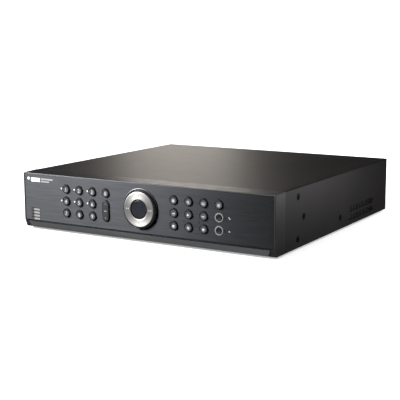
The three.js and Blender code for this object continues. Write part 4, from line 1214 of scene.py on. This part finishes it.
def build_camera():
    data = bpy.data.cameras.new("camera")
    data.lens = CAMERA["lens"]
    data.sensor_width = 36
    data.clip_start, data.clip_end = 0.05, 60
    camera = linked("camera", data)
    back = toward(CAMERA["azimuth"], CAMERA["elevation"])
    level = Vector((cos(radians(CAMERA["azimuth"])), sin(radians(CAMERA["azimuth"])), 0))
    upright = back.cross(level)
    c, s = cos(radians(CAMERA["roll"])), sin(radians(CAMERA["roll"]))
    turn = Matrix((level * c + upright * s, upright * c - level * s, back)).transposed().to_4x4()
    camera.matrix_world = Matrix.Translation(CAMERA["at"]) @ turn
    bpy.context.scene.camera = camera


def area_light(name, azimuth, elevation, distance, size, power, color, aim=(0, 0, 0.04)):
    """A softbox facing a point from a distance in metres."""
    data = bpy.data.lights.new(name, "AREA")
    data.shape = "RECTANGLE"
    data.size, data.size_y = size
    data.energy = power
    data.color = color
    light = linked(name, data)
    back = toward(azimuth, elevation)
    light.location = Vector(aim) + back * distance
    light.rotation_euler = back.to_track_quat("Z", "Y").to_euler()
    light.visible_camera = False


def build_stage():
    floor = Shape().box((-9000, -9000, -20), (9000, 9000, 0)).object("floor")
    look = Material("pale_floor", (0.9, 0.9, 0.9), 0.7)
    look.vary_color(look.noise(3), 0.01)
    look.set("Emission Color", (1, 1, 1, 1))
    look.set("Emission Strength", 0.4)  # a lit table, so the object throws almost no shadow
    floor.data.materials.append(look.material)
    floor.visible_glossy = False
    world = bpy.data.worlds.new("studio")
    bpy.context.scene.world = world
    world.use_nodes = True
    background = world.node_tree.nodes["Background"].inputs
    background["Color"].default_value = (1, 1, 1, 1)
    background["Strength"].default_value = 1.2
    world.cycles_visibility.glossy = False
    area_light("back_left_box", 213.6, 13.5, 2.4, (0.46, 0.5), 3.1, (1.0, 0.92, 0.84))
    area_light("front_left_box", -50, 28.5, 2.2, (1.3, 0.6), 76, (0.94, 0.965, 1.0))
    area_light("left_box", -82, 8, 1.6, (0.5, 0.25), 2.5, (0.95, 0.97, 1.0))
    area_light("right_card", 112, 2, 0.5, (0.24, 0.13), 0.25, (1.0, 0.965, 1.01), (0, 0, 0.06))
    # Lower and narrower than the case, so that it lights only the rear panel.
    area_light("rear_box", 180, 0, 1.0, (0.4, 0.06), 1.4, (1, 1, 1), (0, 0, 0.052))
    bpy.context.scene.view_settings.view_transform = "Standard"
    bpy.context.scene.view_settings.look = "None"


build_camera()
build_bezel()
build_face_plate()
build_keys()
build_rocker()
build_dial()
build_lights()
build_legends()
build_plate_print()
build_cover()
build_screws()
build_feet()
build_bnc()
build_ports()
build_terminals()
build_inlet()
dress_nodes()
build_fan()
build_stage()
